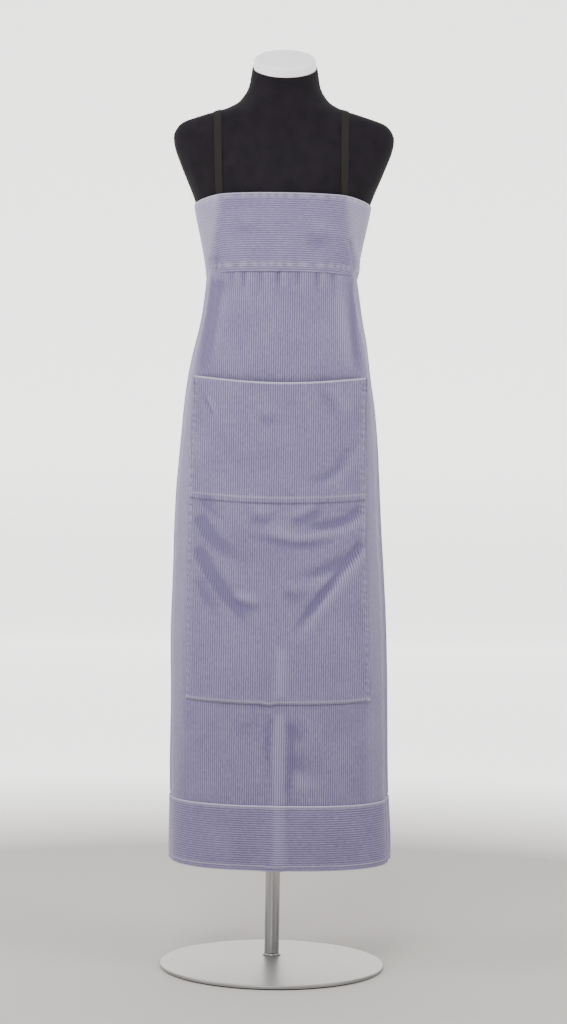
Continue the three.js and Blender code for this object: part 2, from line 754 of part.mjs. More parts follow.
// The upper layer's rise, for a share of the way across a piece that ends on the overlap.
const SKIRT_RISE = [0.45, 0.62]; // where across a back panel the rise starts and ends
const BAND_RISE = [0.86, 0.9]; // the same across the whole bib band
const risen = (across, [from, to]) => THREE.MathUtils.smoothstep(across, from, to) * lift;

function bibBand() {
  const lap = BACK_OVERLAP / 2;
  // Runs from the under end, round the left side, the front and the right side to the upper end.
  const from = backTurn(lap, BAND_BOTTOM + BAND_HEIGHT / 2);
  const to = backTurn(-lap, BAND_BOTTOM + BAND_HEIGHT / 2) + 1;
  const turnAt = (across) => mix(from, to, across);
  const heightAt = (across, up) => mix(BAND_BOTTOM + GAP / 2, bandTop(turnAt(across)), up);
  const over = (across) => risen(across, BAND_RISE);
  return named("bib_band", panel(ROUND + 6, 3, turnAt, heightAt, over), "corduroy");
}

function skirtPanels() {
  const low = HEM_BAND_TOP + GAP / 2;
  const high = BAND_BOTTOM - GAP / 2;
  const heightAt = (_, up) => mix(low, high, up);
  const lap = BACK_OVERLAP / 2;
  const front = panel(16, 12, (a) => mix(SIDE_LEFT + SEAM, SIDE_RIGHT - SEAM, a), heightAt);
  const left = panel(
    10,
    12,
    (a, h) => mix(backTurn(lap, h), SIDE_LEFT - SEAM, a),
    heightAt,
  );
  const right = panel(
    10,
    12,
    (a, h) => mix(SIDE_RIGHT + SEAM - 1, backTurn(-lap, h), a),
    heightAt,
    (a) => risen(a, SKIRT_RISE),
  );
  return [
    named("front_panel", front, "corduroy"),
    named("back_panel_left", left, "corduroy"),
    named("back_panel_right", right, "corduroy"),
  ];
}

function hemBands() {
  const heightAt = (_, up) => mix(HEM_HEIGHT, HEM_BAND_TOP - GAP / 2, up);
  const lap = BACK_OVERLAP / 2;
  const front = panel(16, 3, (a) => mix(SIDE_LEFT + SEAM, SIDE_RIGHT - SEAM, a), heightAt);
  const left = panel(10, 3, (a, h) => mix(backTurn(lap, h), SIDE_LEFT - SEAM, a), heightAt);
  const right = panel(
    10,
    3,
    (a, h) => mix(SIDE_RIGHT + SEAM - 1, backTurn(-lap, h), a),
    heightAt,
    (a) => risen(a, SKIRT_RISE),
  );
  return [
    named("hem_band_front", front, "corduroy"),
    named("hem_band_left", left, "corduroy"),
    named("hem_band_right", right, "corduroy"),
  ];
}

// The turn on the front of the garment at a distance X from the middle.
function frontTurn(x, height) {
  const share = Math.abs(x / clothHalf(height)) ** (clothSquareness(height) / 2);
  return 0.75 + (Math.sign(x) * Math.asin(Math.min(1, share))) / (2 * Math.PI);
}

// How far the pocket's inner face stands off the front, with its sides and bottom sewn down.
function pocketStand(side, height) {
  const loose = curve([
    [POCKET_BOTTOM, 0],
    [POCKET_BOTTOM + 60, 2.5],
    [POCKET_SEAM, 6],
    [POCKET_SEAM + 100, 10],
    [POCKET_TOP, POCKET_GAPE],
  ]);
  return POCKET_CLEARANCE + loose(height) * (1 - side ** 4) ** 0.8;
}

function pocketPanel(name, low, high, rows) {
  const half = (height) =>
    mix(
      POCKET_HALF_WIDTH_BOTTOM,
      POCKET_HALF_WIDTH_TOP,
      (height - POCKET_BOTTOM) / (POCKET_TOP - POCKET_BOTTOM),
    );
  const face = (across, up, depth) => {
    const side = 2 * across - 1;
    const height = mix(low(side), high(side), up);
    const turn = frontTurn(side * half(height), height);
    return offset(clothPoint, turn, height, pocketStand(side, height) + depth);
  };
  return named(
    name,
    sheet(14, rows, (a, v) => face(a, v, 0), (a, v) => face(a, v, CLOTH)),
    "corduroy",
  );
}

function pocketPanels() {
  const seam = (side) => POCKET_SEAM - 8 * (1 - side * side);
  const mouth = (side) => POCKET_TOP - POCKET_MOUTH_SAG * (1 - side * side);
  const bottom = (side) => POCKET_BOTTOM - 4 * (1 - side * side);
  return [
    pocketPanel("pocket_lower", bottom, (side) => seam(side) - GAP / 2, 6),
    pocketPanel("pocket_upper", (side) => seam(side) + GAP / 2, mouth, 5),
  ];
}

// A flat strap that lies on the jersey, from the band's front over the shoulder to its back.
function strap(name, sign, [atBand, atShoulder]) {
  const inner = JERSEY_OUT + GAP;
  const skin = cut(bodySolid(inner + STRAP_THICKNESS), bodySolid(inner));
  const low = BAND_TOP + GAP;
  const rise = SHOULDER + 45 - low;
  const lean = Math.atan((atShoulder - atBand) / rise);
  const slab = block(
    [-STRAP_WIDTH / 2, -400, -100],
    [STRAP_WIDTH / 2, 400, rise + 300],
  )
    .rotateY(sign * lean)
    .translate(sign * atBand, 0, low);
  const upper = block([-400, -400, low], [400, 400, NECK_TOP + 200]);
  return named(name, kept(skin, slab, upper), "elastic");
}

function buttons() {
  const r = BUTTON_DIAMETER / 2;
  const made = [];
  for (let k = 0; k < BUTTONS; k++) {
    const height = mix(
      BAND_BOTTOM + BUTTON_EDGE[0],
      BAND_TOP - BAND_SIDE_DROP - BUTTON_EDGE[1],
      k / (BUTTONS - 1),
    );
    const out = lift + LAP_CLEARANCE;
    const centre = offset(clothPoint, BACK_MIDDLE, height, out);
    const disc = turned([[0, 0], [r - 0.6, 0], [r, 0.6], [r, BUTTON_THICKNESS - 0.8],
      [r - 0.8, BUTTON_THICKNESS], [0, BUTTON_THICKNESS]], 20);
    const normal = offset(clothPoint, BACK_MIDDLE, height, out + 1).sub(centre).normalize();
    const turn = new THREE.Quaternion().setFromUnitVectors(new THREE.Vector3(0, 0, 1), normal);
    disc.applyQuaternion(turn).translate(centre.x, centre.y, centre.z);
    made.push(named("back_button_" + (k + 1), disc, "button"));
  }
  return made;
}

// ---- The object -----------------------------------------------------------------------------

const group = new THREE.Group();
group.add(
  ...standPieces(),
  ...lockPieces(HEIGHT_LOCK),
  ...columnPieces(),
  ...formPieces(),
  ...lockPieces(SWIVEL_LOCK),
  ...capPieces(),
  bibBand(),
  ...skirtPanels(),
  ...hemBands(),
  ...pocketPanels(),
  strap("strap_left", -1, STRAP_LEFT),
  strap("strap_right", 1, STRAP_RIGHT),
  ...buttons(),
);

export default group;
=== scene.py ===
# The looks of a corduroy apron dress on a headless jersey dress form, in metres.
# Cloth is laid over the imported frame: its faces are sampled, smoothed, and the wales,
# folds, turned edges and stitches are built on them.

import json
import math

import bmesh
import bpy
import numpy as np
from mathutils import Matrix, Vector
from mathutils.bvhtree import BVHTree


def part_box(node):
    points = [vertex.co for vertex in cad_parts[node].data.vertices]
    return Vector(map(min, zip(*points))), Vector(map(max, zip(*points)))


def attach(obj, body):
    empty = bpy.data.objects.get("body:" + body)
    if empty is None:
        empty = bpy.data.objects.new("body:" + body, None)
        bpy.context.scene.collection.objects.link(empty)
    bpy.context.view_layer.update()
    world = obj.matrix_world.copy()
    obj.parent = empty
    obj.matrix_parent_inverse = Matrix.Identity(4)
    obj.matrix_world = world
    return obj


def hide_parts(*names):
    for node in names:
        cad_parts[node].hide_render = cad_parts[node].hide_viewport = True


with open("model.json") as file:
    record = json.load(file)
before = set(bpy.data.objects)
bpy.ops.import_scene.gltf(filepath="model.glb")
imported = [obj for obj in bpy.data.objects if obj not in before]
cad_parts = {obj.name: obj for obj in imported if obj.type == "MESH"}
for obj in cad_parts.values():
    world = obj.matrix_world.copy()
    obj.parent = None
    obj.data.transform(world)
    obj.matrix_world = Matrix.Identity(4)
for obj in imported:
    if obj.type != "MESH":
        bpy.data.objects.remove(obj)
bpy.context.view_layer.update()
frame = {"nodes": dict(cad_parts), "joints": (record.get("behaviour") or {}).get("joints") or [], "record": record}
MM = 0.001
TAU = 2 * math.pi
rng = np.random.default_rng(7)

WALE = 3.8 * MM  # from one ridge to the next; the real cloth's may be nearer 3.2 mm
PER_WALE = 4  # points across one ridge
WALE_HEIGHT = 0.6 * MM
TURN_RADIUS = 0.9 * MM  # half the thickness of a folded edge
AXIS_Y = (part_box("post_tube")[0].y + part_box("post_tube")[1].y) / 2

# ---- Camera -----------------------------------------------------------------------------------

PITCH = math.radians(0.47)
ROLL = math.radians(0.87)
EYE = (0.009, -3.8, 0.806)
LENS = 78.4


def aim_camera():
    eye = bpy.data.objects.new("camera", bpy.data.cameras.new("camera"))
    bpy.context.scene.collection.objects.link(eye)
    eye.data.sensor_width = 36
    eye.data.lens = LENS
    eye.data.clip_end = 50
    level = Vector((1, 0, 0))
    rise = Vector((0, math.sin(PITCH), math.cos(PITCH)))
    right = level * math.cos(ROLL) + rise * math.sin(ROLL)
    up = rise * math.cos(ROLL) - level * math.sin(ROLL)
    turn = Matrix((right, up, right.cross(up))).transposed().to_4x4()
    eye.matrix_world = Matrix.Translation(EYE) @ turn
    bpy.context.scene.camera = eye


aim_camera()

# ---- Sampling the frame -----------------------------------------------------------------------


def tree_of(*names):
    """One search tree over several CAD nodes."""
    points, faces = [], []
    for name in names:
        mesh = frame["nodes"][name].data
        base = len(points)
        points += [v.co.copy() for v in mesh.vertices]
        faces += [[base + i for i in p.vertices] for p in mesh.polygons]
    return BVHTree.FromPolygons(points, faces)


def blurred(grid, sigma, axis, ring):
    """A grid smoothed along one axis, which joins up if it is a ring."""
    reach = max(1, int(3 * sigma))
    taps = np.exp(-0.5 * (np.arange(-reach, reach + 1) / sigma) ** 2)
    taps /= taps.sum()
    pad = [(0, 0), (0, 0)]
    pad[axis] = (reach, reach)
    wide = np.pad(grid, pad, mode="wrap" if ring else "edge")
    return np.apply_along_axis(lambda line: np.convolve(line, taps, "valid"), axis, wide)


def filled(grid):
    """Holes in a grid closed from the cells beside them, and single stray cells taken out."""
    for line in [*grid.T, *grid]:
        good = np.isfinite(line)
        if good.any() and not good.all():
            line[~good] = np.interp(np.flatnonzero(~good), np.flatnonzero(good), line[good])
    sides = np.stack([np.roll(grid, 1, 1), grid, np.roll(grid, -1, 1)])
    return np.median(sides, 0)


class Field:
    """A smooth value over a grid of two coordinates, the first of which may be a ring."""

    def __init__(self, values, u, v, ring):
        self.values, self.u, self.v, self.ring = values, u, v, ring

    def _taps(self, place, line, ring):
        count = len(line)
        step = line[1] - line[0]
        spot = (place - line[0]) / step
        if not ring:
            spot = np.clip(spot, 0, count - 1.000001)
        whole = np.floor(spot).astype(int)
        t = spot - whole
        weights = [
            -0.5 * t + t * t - 0.5 * t**3,
            1 - 2.5 * t * t + 1.5 * t**3,
            0.5 * t + 2 * t * t - 1.5 * t**3,
            -0.5 * t * t + 0.5 * t**3,
        ]
        steps = [whole + k for k in (-1, 0, 1, 2)]
        steps = [s % count if ring else np.clip(s, 0, count - 1) for s in steps]
        return steps, weights

    def at(self, u, v):
        us, wu = self._taps(np.asarray(u, float), self.u, self.ring)
        vs, wv = self._taps(np.asarray(v, float), self.v, False)
        total = 0
        for j, b in zip(vs, wv):
            for i, a in zip(us, wu):
                total = total + self.values[j, i] * a * b
        return total


class Round:
    """A surface that goes round the post's axis, as a distance from it at each angle and height."""

    def __init__(self, names, low, high, levels=120, turns=360, soften=(3.5, 1.6), grow=0.6 * MM):
        tree = tree_of(*names)
        angles = np.arange(turns) * TAU / turns + 0.004
        heights = np.linspace(low, high, levels)
        out = 0.5
        radii = np.full((levels, turns), np.nan)
        for j, z in enumerate(heights):
            for k, a in enumerate(angles):
                way = Vector((math.cos(a), math.sin(a), 0))
                hit = tree.ray_cast(Vector((0, AXIS_Y, z)) + way * out, -way, out)
                if hit[0] is not None:
                    radii[j, k] = out - hit[3]
        radii = filled(radii)
        radii = blurred(radii, soften[0] * turns / 360, 1, True)
        radii = blurred(radii, soften[1], 0, False)
        self.field = Field(radii + grow, angles, heights, True)

    def point(self, a, z):
        r = self.field.at(a, z)
        return np.stack([r * np.cos(a), AXIS_Y + r * np.sin(a), z + 0 * r], -1)

    def normal(self, a, z):
        step = 0.01
        rise = 3 * MM
        along = self.point(a + step, z) - self.point(a - step, z)
        up = self.point(a, z + rise) - self.point(a, z - rise)
        n = np.cross(along, up)
        return n / np.linalg.norm(n, axis=-1, keepdims=True)


class Front:
    """A surface seen from in front, as a depth at each X and height."""

    def __init__(self, names, low, high, half, soften=(3, 3), grow=0.4 * MM):
        tree = tree_of(*names)
        xs = np.linspace(-half, half, 161)
        zs = np.linspace(low, high, 161)
        depth = np.full((len(zs), len(xs)), np.nan)
        for j, z in enumerate(zs):
            for k, x in enumerate(xs):
                hit = tree.ray_cast(Vector((x, -0.5, z)), Vector((0, 1, 0)), 0.56)
                if hit[0] is not None:
                    depth[j, k] = hit[0].y
        depth = blurred(blurred(filled(depth), soften[0], 1, False), soften[1], 0, False)
        self.field = Field(depth - grow, xs, zs, False)

    def point(self, x, z):
        y = self.field.at(x, z)
        return np.stack([x + 0 * y, y, z + 0 * y], -1)

    def normal(self, x, z):
        step = 3 * MM
        along = self.point(x + step, z) - self.point(x - step, z)
        up = self.point(x, z + step) - self.point(x, z - step)
        n = np.cross(along, up)
        return n / np.linalg.norm(n, axis=-1, keepdims=True)


# ---- Shaping cloth ----------------------------------------------------------------------------


def smooth(t):
    t = np.clip(t, 0, 1)
    return t * t * (3 - 2 * t)


def line_through(points, count=90):
    """A smooth line through a few (X, Z) points given in mm."""
    p = np.array(points, float) * MM
    p = np.vstack([2 * p[0] - p[1], p, 2 * p[-1] - p[-2]])
    spans = len(p) - 3
    t = np.linspace(0, spans - 1e-9, count)
    k = t.astype(int)
    f = (t - k)[:, None]
    a, b, c, d = p[k], p[k + 1], p[k + 2], p[k + 3]
    bent = (c - a) * f + (2 * a - 5 * b + 4 * c - d) * f**2 + (3 * b - a - 3 * c + d) * f**3
    return b + 0.5 * bent


FOLD_DEPTH = 1.35  # every crease is drawn this much deeper than its figure in mm


def fold(x, z, points, width, depth, ridge=0.0, lead=0.25, trail=0.25):
    """A crease along a line, `depth` mm in (or out if negative), with a softer ridge of `ridge`
    times that on the left of the line's way. It fades over the shares lead and trail of its length."""
    line = line_through(points)
    along = np.gradient(line, axis=0)
    along /= np.linalg.norm(along, axis=1, keepdims=True)
    flat_x, flat_z = x.ravel(), z.ravel()
    reach = 4.5 * width * MM
    low, high = line.min(0) - reach, line.max(0) + reach
    near = (flat_x > low[0]) & (flat_x < high[0]) & (flat_z > low[1]) & (flat_z < high[1])
    total = np.zeros(flat_x.shape)
    if not near.any():
        return total.reshape(x.shape)
    dx = flat_x[near, None] - line[None, :, 0]
    dz = flat_z[near, None] - line[None, :, 1]
    gap = dx * dx + dz * dz
    best = gap.argmin(1)
    rows = np.arange(len(best))
    side = along[best, 0] * dz[rows, best] - along[best, 1] * dx[rows, best]
    away = np.sqrt(gap[rows, best])
    t = best / (len(line) - 1)
    fade = smooth(t / max(lead, 1e-3)) * smooth((1 - t) / max(trail, 1e-3))
    w = width * MM
    shape = -np.exp(-((away / w) ** 2))
    shape = shape + ridge * np.exp(-(((away * np.sign(side) - 1.7 * w) / (1.2 * w)) ** 2))
    total[near] = shape * fade * depth * FOLD_DEPTH * MM
    return total.reshape(x.shape)


WAVES = [
    (rng.uniform(14, 46), rng.uniform(9, 30), rng.uniform(0, TAU), rng.uniform(0, TAU))
    for _ in range(9)
]


def ripple(x, z, size):
    """Slow unevenness of worn cloth, about `size` mm."""
    total = 0
    for across, up, a, b in WAVES:
        total = total + np.sin(across * x + a) * np.sin(up * z + b)
    return total * size * MM / 3


def wale(distance, depth=WALE_HEIGHT):
    """Height of the pile at a distance across the ridges: round ridges with narrow furrows."""
    phase = np.abs(np.sin(math.pi * distance / WALE))
    return depth * (phase**0.7 - 0.6)


def turned_over(distance, radius=TURN_RADIUS):
    """For cloth past a folded edge by `distance`: (how far past the edge, how far in)."""
    angle = np.clip(distance / radius, 0, math.pi)
    past = radius * np.sin(angle) - np.maximum(0, distance - math.pi * radius)
    inward = radius * (1 - np.cos(angle))
    return past, inward


# ---- Meshes -----------------------------------------------------------------------------------


def link(obj):
    bpy.context.scene.collection.objects.link(obj)
    return obj


def mesh_object(name, points, faces, material, uv=None, wear_and_side_sheen=None, fold_shade=None):
    mesh = bpy.data.meshes.new(name)
    mesh.from_pydata([tuple(p) for p in points], [], faces)
    mesh.polygons.foreach_set("use_smooth", [True] * len(mesh.polygons))
    if uv is not None:
        layer = mesh.uv_layers.new(name="weave")
        corner = np.empty(len(mesh.loops), np.int32)
        mesh.loops.foreach_get("vertex_index", corner)
        layer.data.foreach_set("uv", np.asarray(uv, np.float32)[corner].ravel())
    for key, values in (("wear_and_side_sheen", wear_and_side_sheen), ("fold_shade", fold_shade)):
        if values is not None:
            mark = mesh.attributes.new(key, "FLOAT", "POINT")
            mark.data.foreach_set("value", np.asarray(values, np.float32))
    mesh.materials.append(material)
    mesh.update()
    return link(bpy.data.objects.new(name, mesh))


def cloth(name, material, body, points, uv, wear_and_side_sheen, fold_shade):
    """A sheet from a grid of points. Columns or rows that were held at an edge fall together,
    and are left out."""
    rows, columns = points.shape[:2]
    flat = points.reshape(-1, 3)
    keys = np.round(flat / (0.004 * MM)).astype(np.int64)
    _, first, index = np.unique(keys, axis=0, return_index=True, return_inverse=True)
    index = index.reshape(rows, columns)
    quads = np.stack([index[:-1, :-1], index[:-1, 1:], index[1:, 1:], index[1:, :-1]], -1).reshape(-1, 4)
    faces = []
    for quad in quads.tolist():
        face = list(dict.fromkeys(quad))
        if len(face) > 2:
            faces.append(face)
    marks = [np.broadcast_to(m, (rows, columns)).ravel()[first] for m in (wear_and_side_sheen, fold_shade / MM)]
    obj = mesh_object(name, flat[first], faces, material, uv.reshape(-1, 2)[first], *marks)
    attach(obj, body)
    return obj


def stitches(name, material, paths, body, length=2.7, gap=1.0, thick=0.55):
    """Top stitches as short sewn threads along paths, each a pair of points and normals."""
    points, faces = [], []
    ring = 5
    for path, normals in paths:
        steps = np.linalg.norm(np.diff(path, axis=0), axis=1)
        far = np.concatenate([[0], np.cumsum(steps)])
        count = int(far[-1] / ((length + gap) * MM))
        for k in range(count):
            start = k * (length + gap) * MM + rng.uniform(-0.12, 0.12) * MM
            spots = start + np.array([0, 0.2, 0.8, 1.0]) * length * MM
            centre = np.stack([np.interp(spots, far, path[:, i]) for i in range(3)], -1)
            out = np.stack([np.interp(spots, far, normals[:, i]) for i in range(3)], -1)
            rise = np.array([-0.25, 0.32, 0.32, -0.25]) * thick * MM
            centre = centre + out * rise[:, None]
            along = centre[-1] - centre[0]
            along /= max(np.linalg.norm(along), 1e-9)
            side = np.cross(along, out[0])
            base = len(points)
            for c, n in zip(centre, out):
                for m in range(ring):
                    turn = TAU * m / ring
                    reach = (side * math.cos(turn) * 0.8 + n * math.sin(turn)) * thick * MM / 2
                    points.append(c + reach)
            for j in range(3):
                for m in range(ring):
                    a, b = base + j * ring + m, base + j * ring + (m + 1) % ring
                    faces.append([a, b, b + ring, a + ring])
            faces.append([base + m for m in range(ring)][::-1])
            faces.append([base + 3 * ring + m for m in range(ring)])
    obj = mesh_object(name, points, faces, material)
    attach(obj, body)


def lathe(name, material, profile, sides, place, body, replaces=()):
    """A turned piece. The profile is (radius, height) pairs in metres."""
    points, faces = [], []
    rings = []
    for r, z in profile:
        if r < 1e-7:
            rings.append([len(points)])
            points.append((0, 0, z))
        else:
            rings.append(list(range(len(points), len(points) + sides)))
            points += [(r * math.cos(TAU * k / sides), r * math.sin(TAU * k / sides), z)
                       for k in range(sides)]
    for a, b in zip(rings, rings[1:]):
        for k in range(sides):
            m = (k + 1) % sides
            face = [a[k % len(a)], a[m % len(a)], b[m % len(b)], b[k % len(b)]]
            faces.append(list(dict.fromkeys(face)))
    faces = [f for f in faces if len(f) > 2]
    moved = [place @ Vector(p) for p in points]
    obj = mesh_object(name, moved, faces, material)
    if replaces:
        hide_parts(*replaces)
    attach(obj, body)
    return obj


def rounded(profile, radius, steps=4):
    """A (radius, height) line with its inner corners rounded."""
    made = [profile[0]]
    for before, here, after in zip(profile, profile[1:], profile[2:]):
        a, h, b = (Vector(p) for p in (before, here, after))
        cut = min(radius, (a - h).length * 0.45, (b - h).length * 0.45)
        start, end = h + (a - h).normalized() * cut, h + (b - h).normalized() * cut
        for k in range(steps + 1):
            t = k / steps
            made.append(tuple(start * (1 - t) ** 2 + h * 2 * t * (1 - t) + end * t * t))
    made.append(profile[-1])
    return made


# ---- Materials --------------------------------------------------------------------------------


def shade(text):
    """A colour written as sRGB hex, as the linear colour a shader wants."""
    parts = [int(text[k : k + 2], 16) / 255 for k in (0, 2, 4)]
    return (*[c / 12.92 if c <= 0.04045 else ((c + 0.055) / 1.055) ** 2.4 for c in parts], 1)


def put(material, kind, settings=None, inputs=None):
    """One node in a material. An input is a value, or another node's output to take it from."""
    node = material.node_tree.nodes.new(kind)
    for key, value in (settings or {}).items():
        setattr(node, key, value)
    for key, value in (inputs or {}).items():
        if isinstance(value, bpy.types.NodeSocket):
            material.node_tree.links.new(value, node.inputs[key])
        else:
            node.inputs[key].default_value = value
    return node


def finish_named(name, **sockets):
    """A new material with its main shader's sockets set."""
    material = bpy.data.materials.new(name)
    material.use_nodes = True
    shader = material.node_tree.nodes["Principled BSDF"]
    for key, value in sockets.items():
        shader.inputs[key.replace("_", " ")].default_value = value
    return material, shader


def feed(material, shader, **sources):
    """Links outputs to the main shader's sockets."""
    for key, value in sources.items():
        material.node_tree.links.new(value, shader.inputs[key.replace("_", " ")])


def blend_colours(material, share, low, high):
    """A colour from low to high by a share from 0 to 1."""
    node = put(material, "ShaderNodeMix", {"data_type": "RGBA", "clamp_factor": True}, {0: share})
    for index, value in ((6, low), (7, high)):
        if isinstance(value, bpy.types.NodeSocket):
            material.node_tree.links.new(value, node.inputs[index])
        else:
            node.inputs[index].default_value = value
    return node.outputs[2]


def sum_of(material, kind, a, b, c=None):
    inputs = {0: a, 1: b} if c is None else {0: a, 1: b, 2: c}
    return put(material, "ShaderNodeMath", {"operation": kind}, inputs).outputs[0]


def corduroy(name, tone, light):
    """Washed cotton corduroy: a lilac grey with pale ridges and painted shade darkening the furrows
    between them, slow faded patches, painted shade in creases with painted highlight on fold ridges,
    pale worn edges with painted sheen on the sides, and a dusty bloom where the pile is seen edge on."""
    material, shader = finish_named(name, Roughness=0.94, Sheen_Weight=0.6, Sheen_Roughness=0.34)
    shader.inputs["Sheen Tint"].default_value = shade("E6E3EE")
    shader.inputs["Specular IOR Level"].default_value = 0.12
    weave = put(material, "ShaderNodeUVMap", {"uv_map": "weave"}).outputs[0]
    parts = put(material, "ShaderNodeSeparateXYZ", inputs={0: weave}).outputs
    turn = sum_of(material, "MULTIPLY", parts[0], math.pi / WALE)
    ridge = sum_of(material, "ABSOLUTE", sum_of(material, "SINE", turn, 0), 0)
    stretched = put(material, "ShaderNodeMapping", inputs={"Vector": weave, "Scale": (430, 130, 1)})
    streak = put(material, "ShaderNodeTexNoise",
                 inputs={"Vector": stretched.outputs[0], "Scale": 1.0, "Detail": 4.0})
    place = put(material, "ShaderNodeTexCoord").outputs["Object"]
    patch = put(material, "ShaderNodeTexNoise",
                inputs={"Vector": place, "Scale": 17.0, "Detail": 5.0, "Roughness": 0.6})
    fuzz = put(material, "ShaderNodeTexNoise", inputs={"Vector": place, "Scale": 1500.0, "Detail": 2.0})
    wear_and_side_sheen = put(material, "ShaderNodeAttribute", {"attribute_name": "wear_and_side_sheen"}).outputs["Fac"]
    tones = sum_of(material, "MULTIPLY", streak.outputs[0], 1.7)
    tones = sum_of(material, "MULTIPLY_ADD", patch.outputs[0], 0.9, tones)
    # Painted shade in creases and puckers and painted highlight on fold ridges: the tone follows how far each fold
    # pushes the cloth in or out.
    fold_shade = put(material, "ShaderNodeAttribute", {"attribute_name": "fold_shade"}).outputs["Fac"]
    tones = sum_of(material, "MULTIPLY_ADD", fold_shade, 0.2, tones)
    tones = sum_of(material, "SUBTRACT", tones, 0.8)
    pile = blend_colours(material, tones, shade(tone), shade(light))
    # Painted shade: the furrows between the ridges are darkened towards 504A68.
    furrow_shade = put(material, "ShaderNodeMapRange",
                 inputs={0: ridge, 1: 0.0, 2: 0.9, 3: 0.95, 4: 0.0}).outputs[0]
    dark = blend_colours(material, furrow_shade, pile, shade("504A68"))
    # Paler towards D5D2DE where the cloth is worn, and where painted sheen is laid on at the sides.
    worn = blend_colours(material, wear_and_side_sheen, dark, shade("D5D2DE"))
    feed(material, shader, Base_Color=worn)
    bump = put(material, "ShaderNodeBump",
               inputs={"Height": fuzz.outputs[0], "Distance": 0.25 * MM, "Strength": 0.5})
    feed(material, shader, Normal=bump.outputs[0])
    return material


def knit_jersey():
    """Fine black cotton jersey stretched over the form: matt, a little blue, with a faint dusty
    bloom at its edges and fine courses of stitches close up."""
    material, shader = finish_named("black cotton jersey", Roughness=0.95, Sheen_Weight=0.035)
    shader.inputs["Specular IOR Level"].default_value = 0.1
    place = put(material, "ShaderNodeTexCoord").outputs["Object"]
    loops = put(material, "ShaderNodeTexVoronoi", inputs={"Vector": place, "Scale": 900.0})
    slow = put(material, "ShaderNodeTexNoise", inputs={"Vector": place, "Scale": 40.0, "Detail": 4.0})
    tone = blend_colours(material, slow.outputs[0], shade("121014"), shade("221D23"))
    feed(material, shader, Base_Color=tone)
    bump = put(material, "ShaderNodeBump",
               inputs={"Height": loops.outputs[0], "Distance": 0.3 * MM, "Strength": 0.4})
    feed(material, shader, Normal=bump.outputs[0])
    return material


def woven_elastic():
    """Flat dark warm-grey elastic with fine cords along it."""
    material, shader = finish_named("dark grey woven elastic", Roughness=0.85)
    shader.inputs["Specular IOR Level"].default_value = 0.2
    weave = put(material, "ShaderNodeUVMap", {"uv_map": "weave"}).outputs[0]
    parts = put(material, "ShaderNodeSeparateXYZ", inputs={0: weave}).outputs
    cords = sum_of(material, "SINE", sum_of(material, "MULTIPLY", parts[0], TAU / (1.1 * MM)), 0)
    ribs = sum_of(material, "SINE", sum_of(material, "MULTIPLY", parts[1], TAU / (0.9 * MM)), 0)
    both = sum_of(material, "MULTIPLY_ADD", ribs, 0.5, cords)
    share = put(material, "ShaderNodeMapRange", inputs={0: both, 1: -1.5, 2: 1.5}).outputs[0]
    feed(material, shader, Base_Color=blend_colours(material, share, shade("191716"), shade("242120")))
    bump = put(material, "ShaderNodeBump", inputs={"Height": share, "Distance": 0.2 * MM, "Strength": 0.6})
    feed(material, shader, Normal=bump.outputs[0])
    return material


def metal(name, colour, rough, metallic, grain=260.0):
    """Satin metal: an even grey with a fine cloudy grain in how sharply it reflects."""
    material, shader = finish_named(name, Base_Color=shade(colour), Metallic=metallic)
    place = put(material, "ShaderNodeTexCoord").outputs["Object"]
    cloud = put(material, "ShaderNodeTexNoise", inputs={"Vector": place, "Scale": grain, "Detail": 5.0})
    polish = put(material, "ShaderNodeMapRange",
                 inputs={0: cloud.outputs[0], 3: rough - 0.05, 4: rough + 0.06})
    feed(material, shader, Roughness=polish.outputs[0])
    bump = put(material, "ShaderNodeBump",
               inputs={"Height": cloud.outputs[0], "Distance": 0.02 * MM, "Strength": 0.3})
    feed(material, shader, Normal=bump.outputs[0])
    return material


def mottled(name, low, high, rough, scale, depth=0.05):
    """A matt material of two close tones with a fine uneven surface, such as felt or card."""
    material, shader = finish_named(name, Roughness=rough)
    place = put(material, "ShaderNodeTexCoord").outputs["Object"]
    cloud = put(material, "ShaderNodeTexNoise", inputs={"Vector": place, "Scale": scale, "Detail": 6.0})
    feed(material, shader, Base_Color=blend_colours(material, cloud.outputs[0], shade(low), shade(high)))
    bump = put(material, "ShaderNodeBump",
               inputs={"Height": cloud.outputs[0], "Distance": depth * MM, "Strength": 0.5})
    feed(material, shader, Normal=bump.outputs[0])
    return material


CORDUROY = corduroy("lilac grey corduroy", "736B8E", "968EAE")
THREAD, _ = finish_named("pale lilac cotton thread", Base_Color=shade("A19DB8"), Roughness=0.8)
JERSEY = knit_jersey()
ELASTIC = woven_elastic()
SATIN = metal("satin silver paint", "FCFCFD", 0.4, 0.04)
PLATE = metal("satin steel plate", "9D9C9B", 0.38, 0.75)
TUBE = metal("satin steel tube", "BDBBBA", 0.34, 0.75)
ZINC = metal("zinc plate", "9C9C9A", 0.38, 0.9)
NYLON = mottled("black nylon", "1E2022", "262829", 0.5, 400.0)
FELT = mottled("charcoal felt", "2F2F31", "454547", 1.0, 700.0, 0.3)
SHELL = mottled("cream moulded shell", "D2CBBC", "DED8CB", 0.6, 60.0)
PLY = mottled("birch plywood", "A98756", "B99763", 0.7, 90.0)
BUTTON = mottled("mauve grey button", "6A6781", "757189", 0.28, 130.0, 0.01)

FINISH_OF_SLOT = {
    "felt": FELT, "steel": PLATE, "zinc": ZINC, "nylon": NYLON, "shell": SHELL, "jersey": JERSEY,
    "ply": PLY, "silver": SATIN, "corduroy": CORDUROY, "elastic": ELASTIC, "button": BUTTON,
}


# ---- The garment's faces ----------------------------------------------------------------------

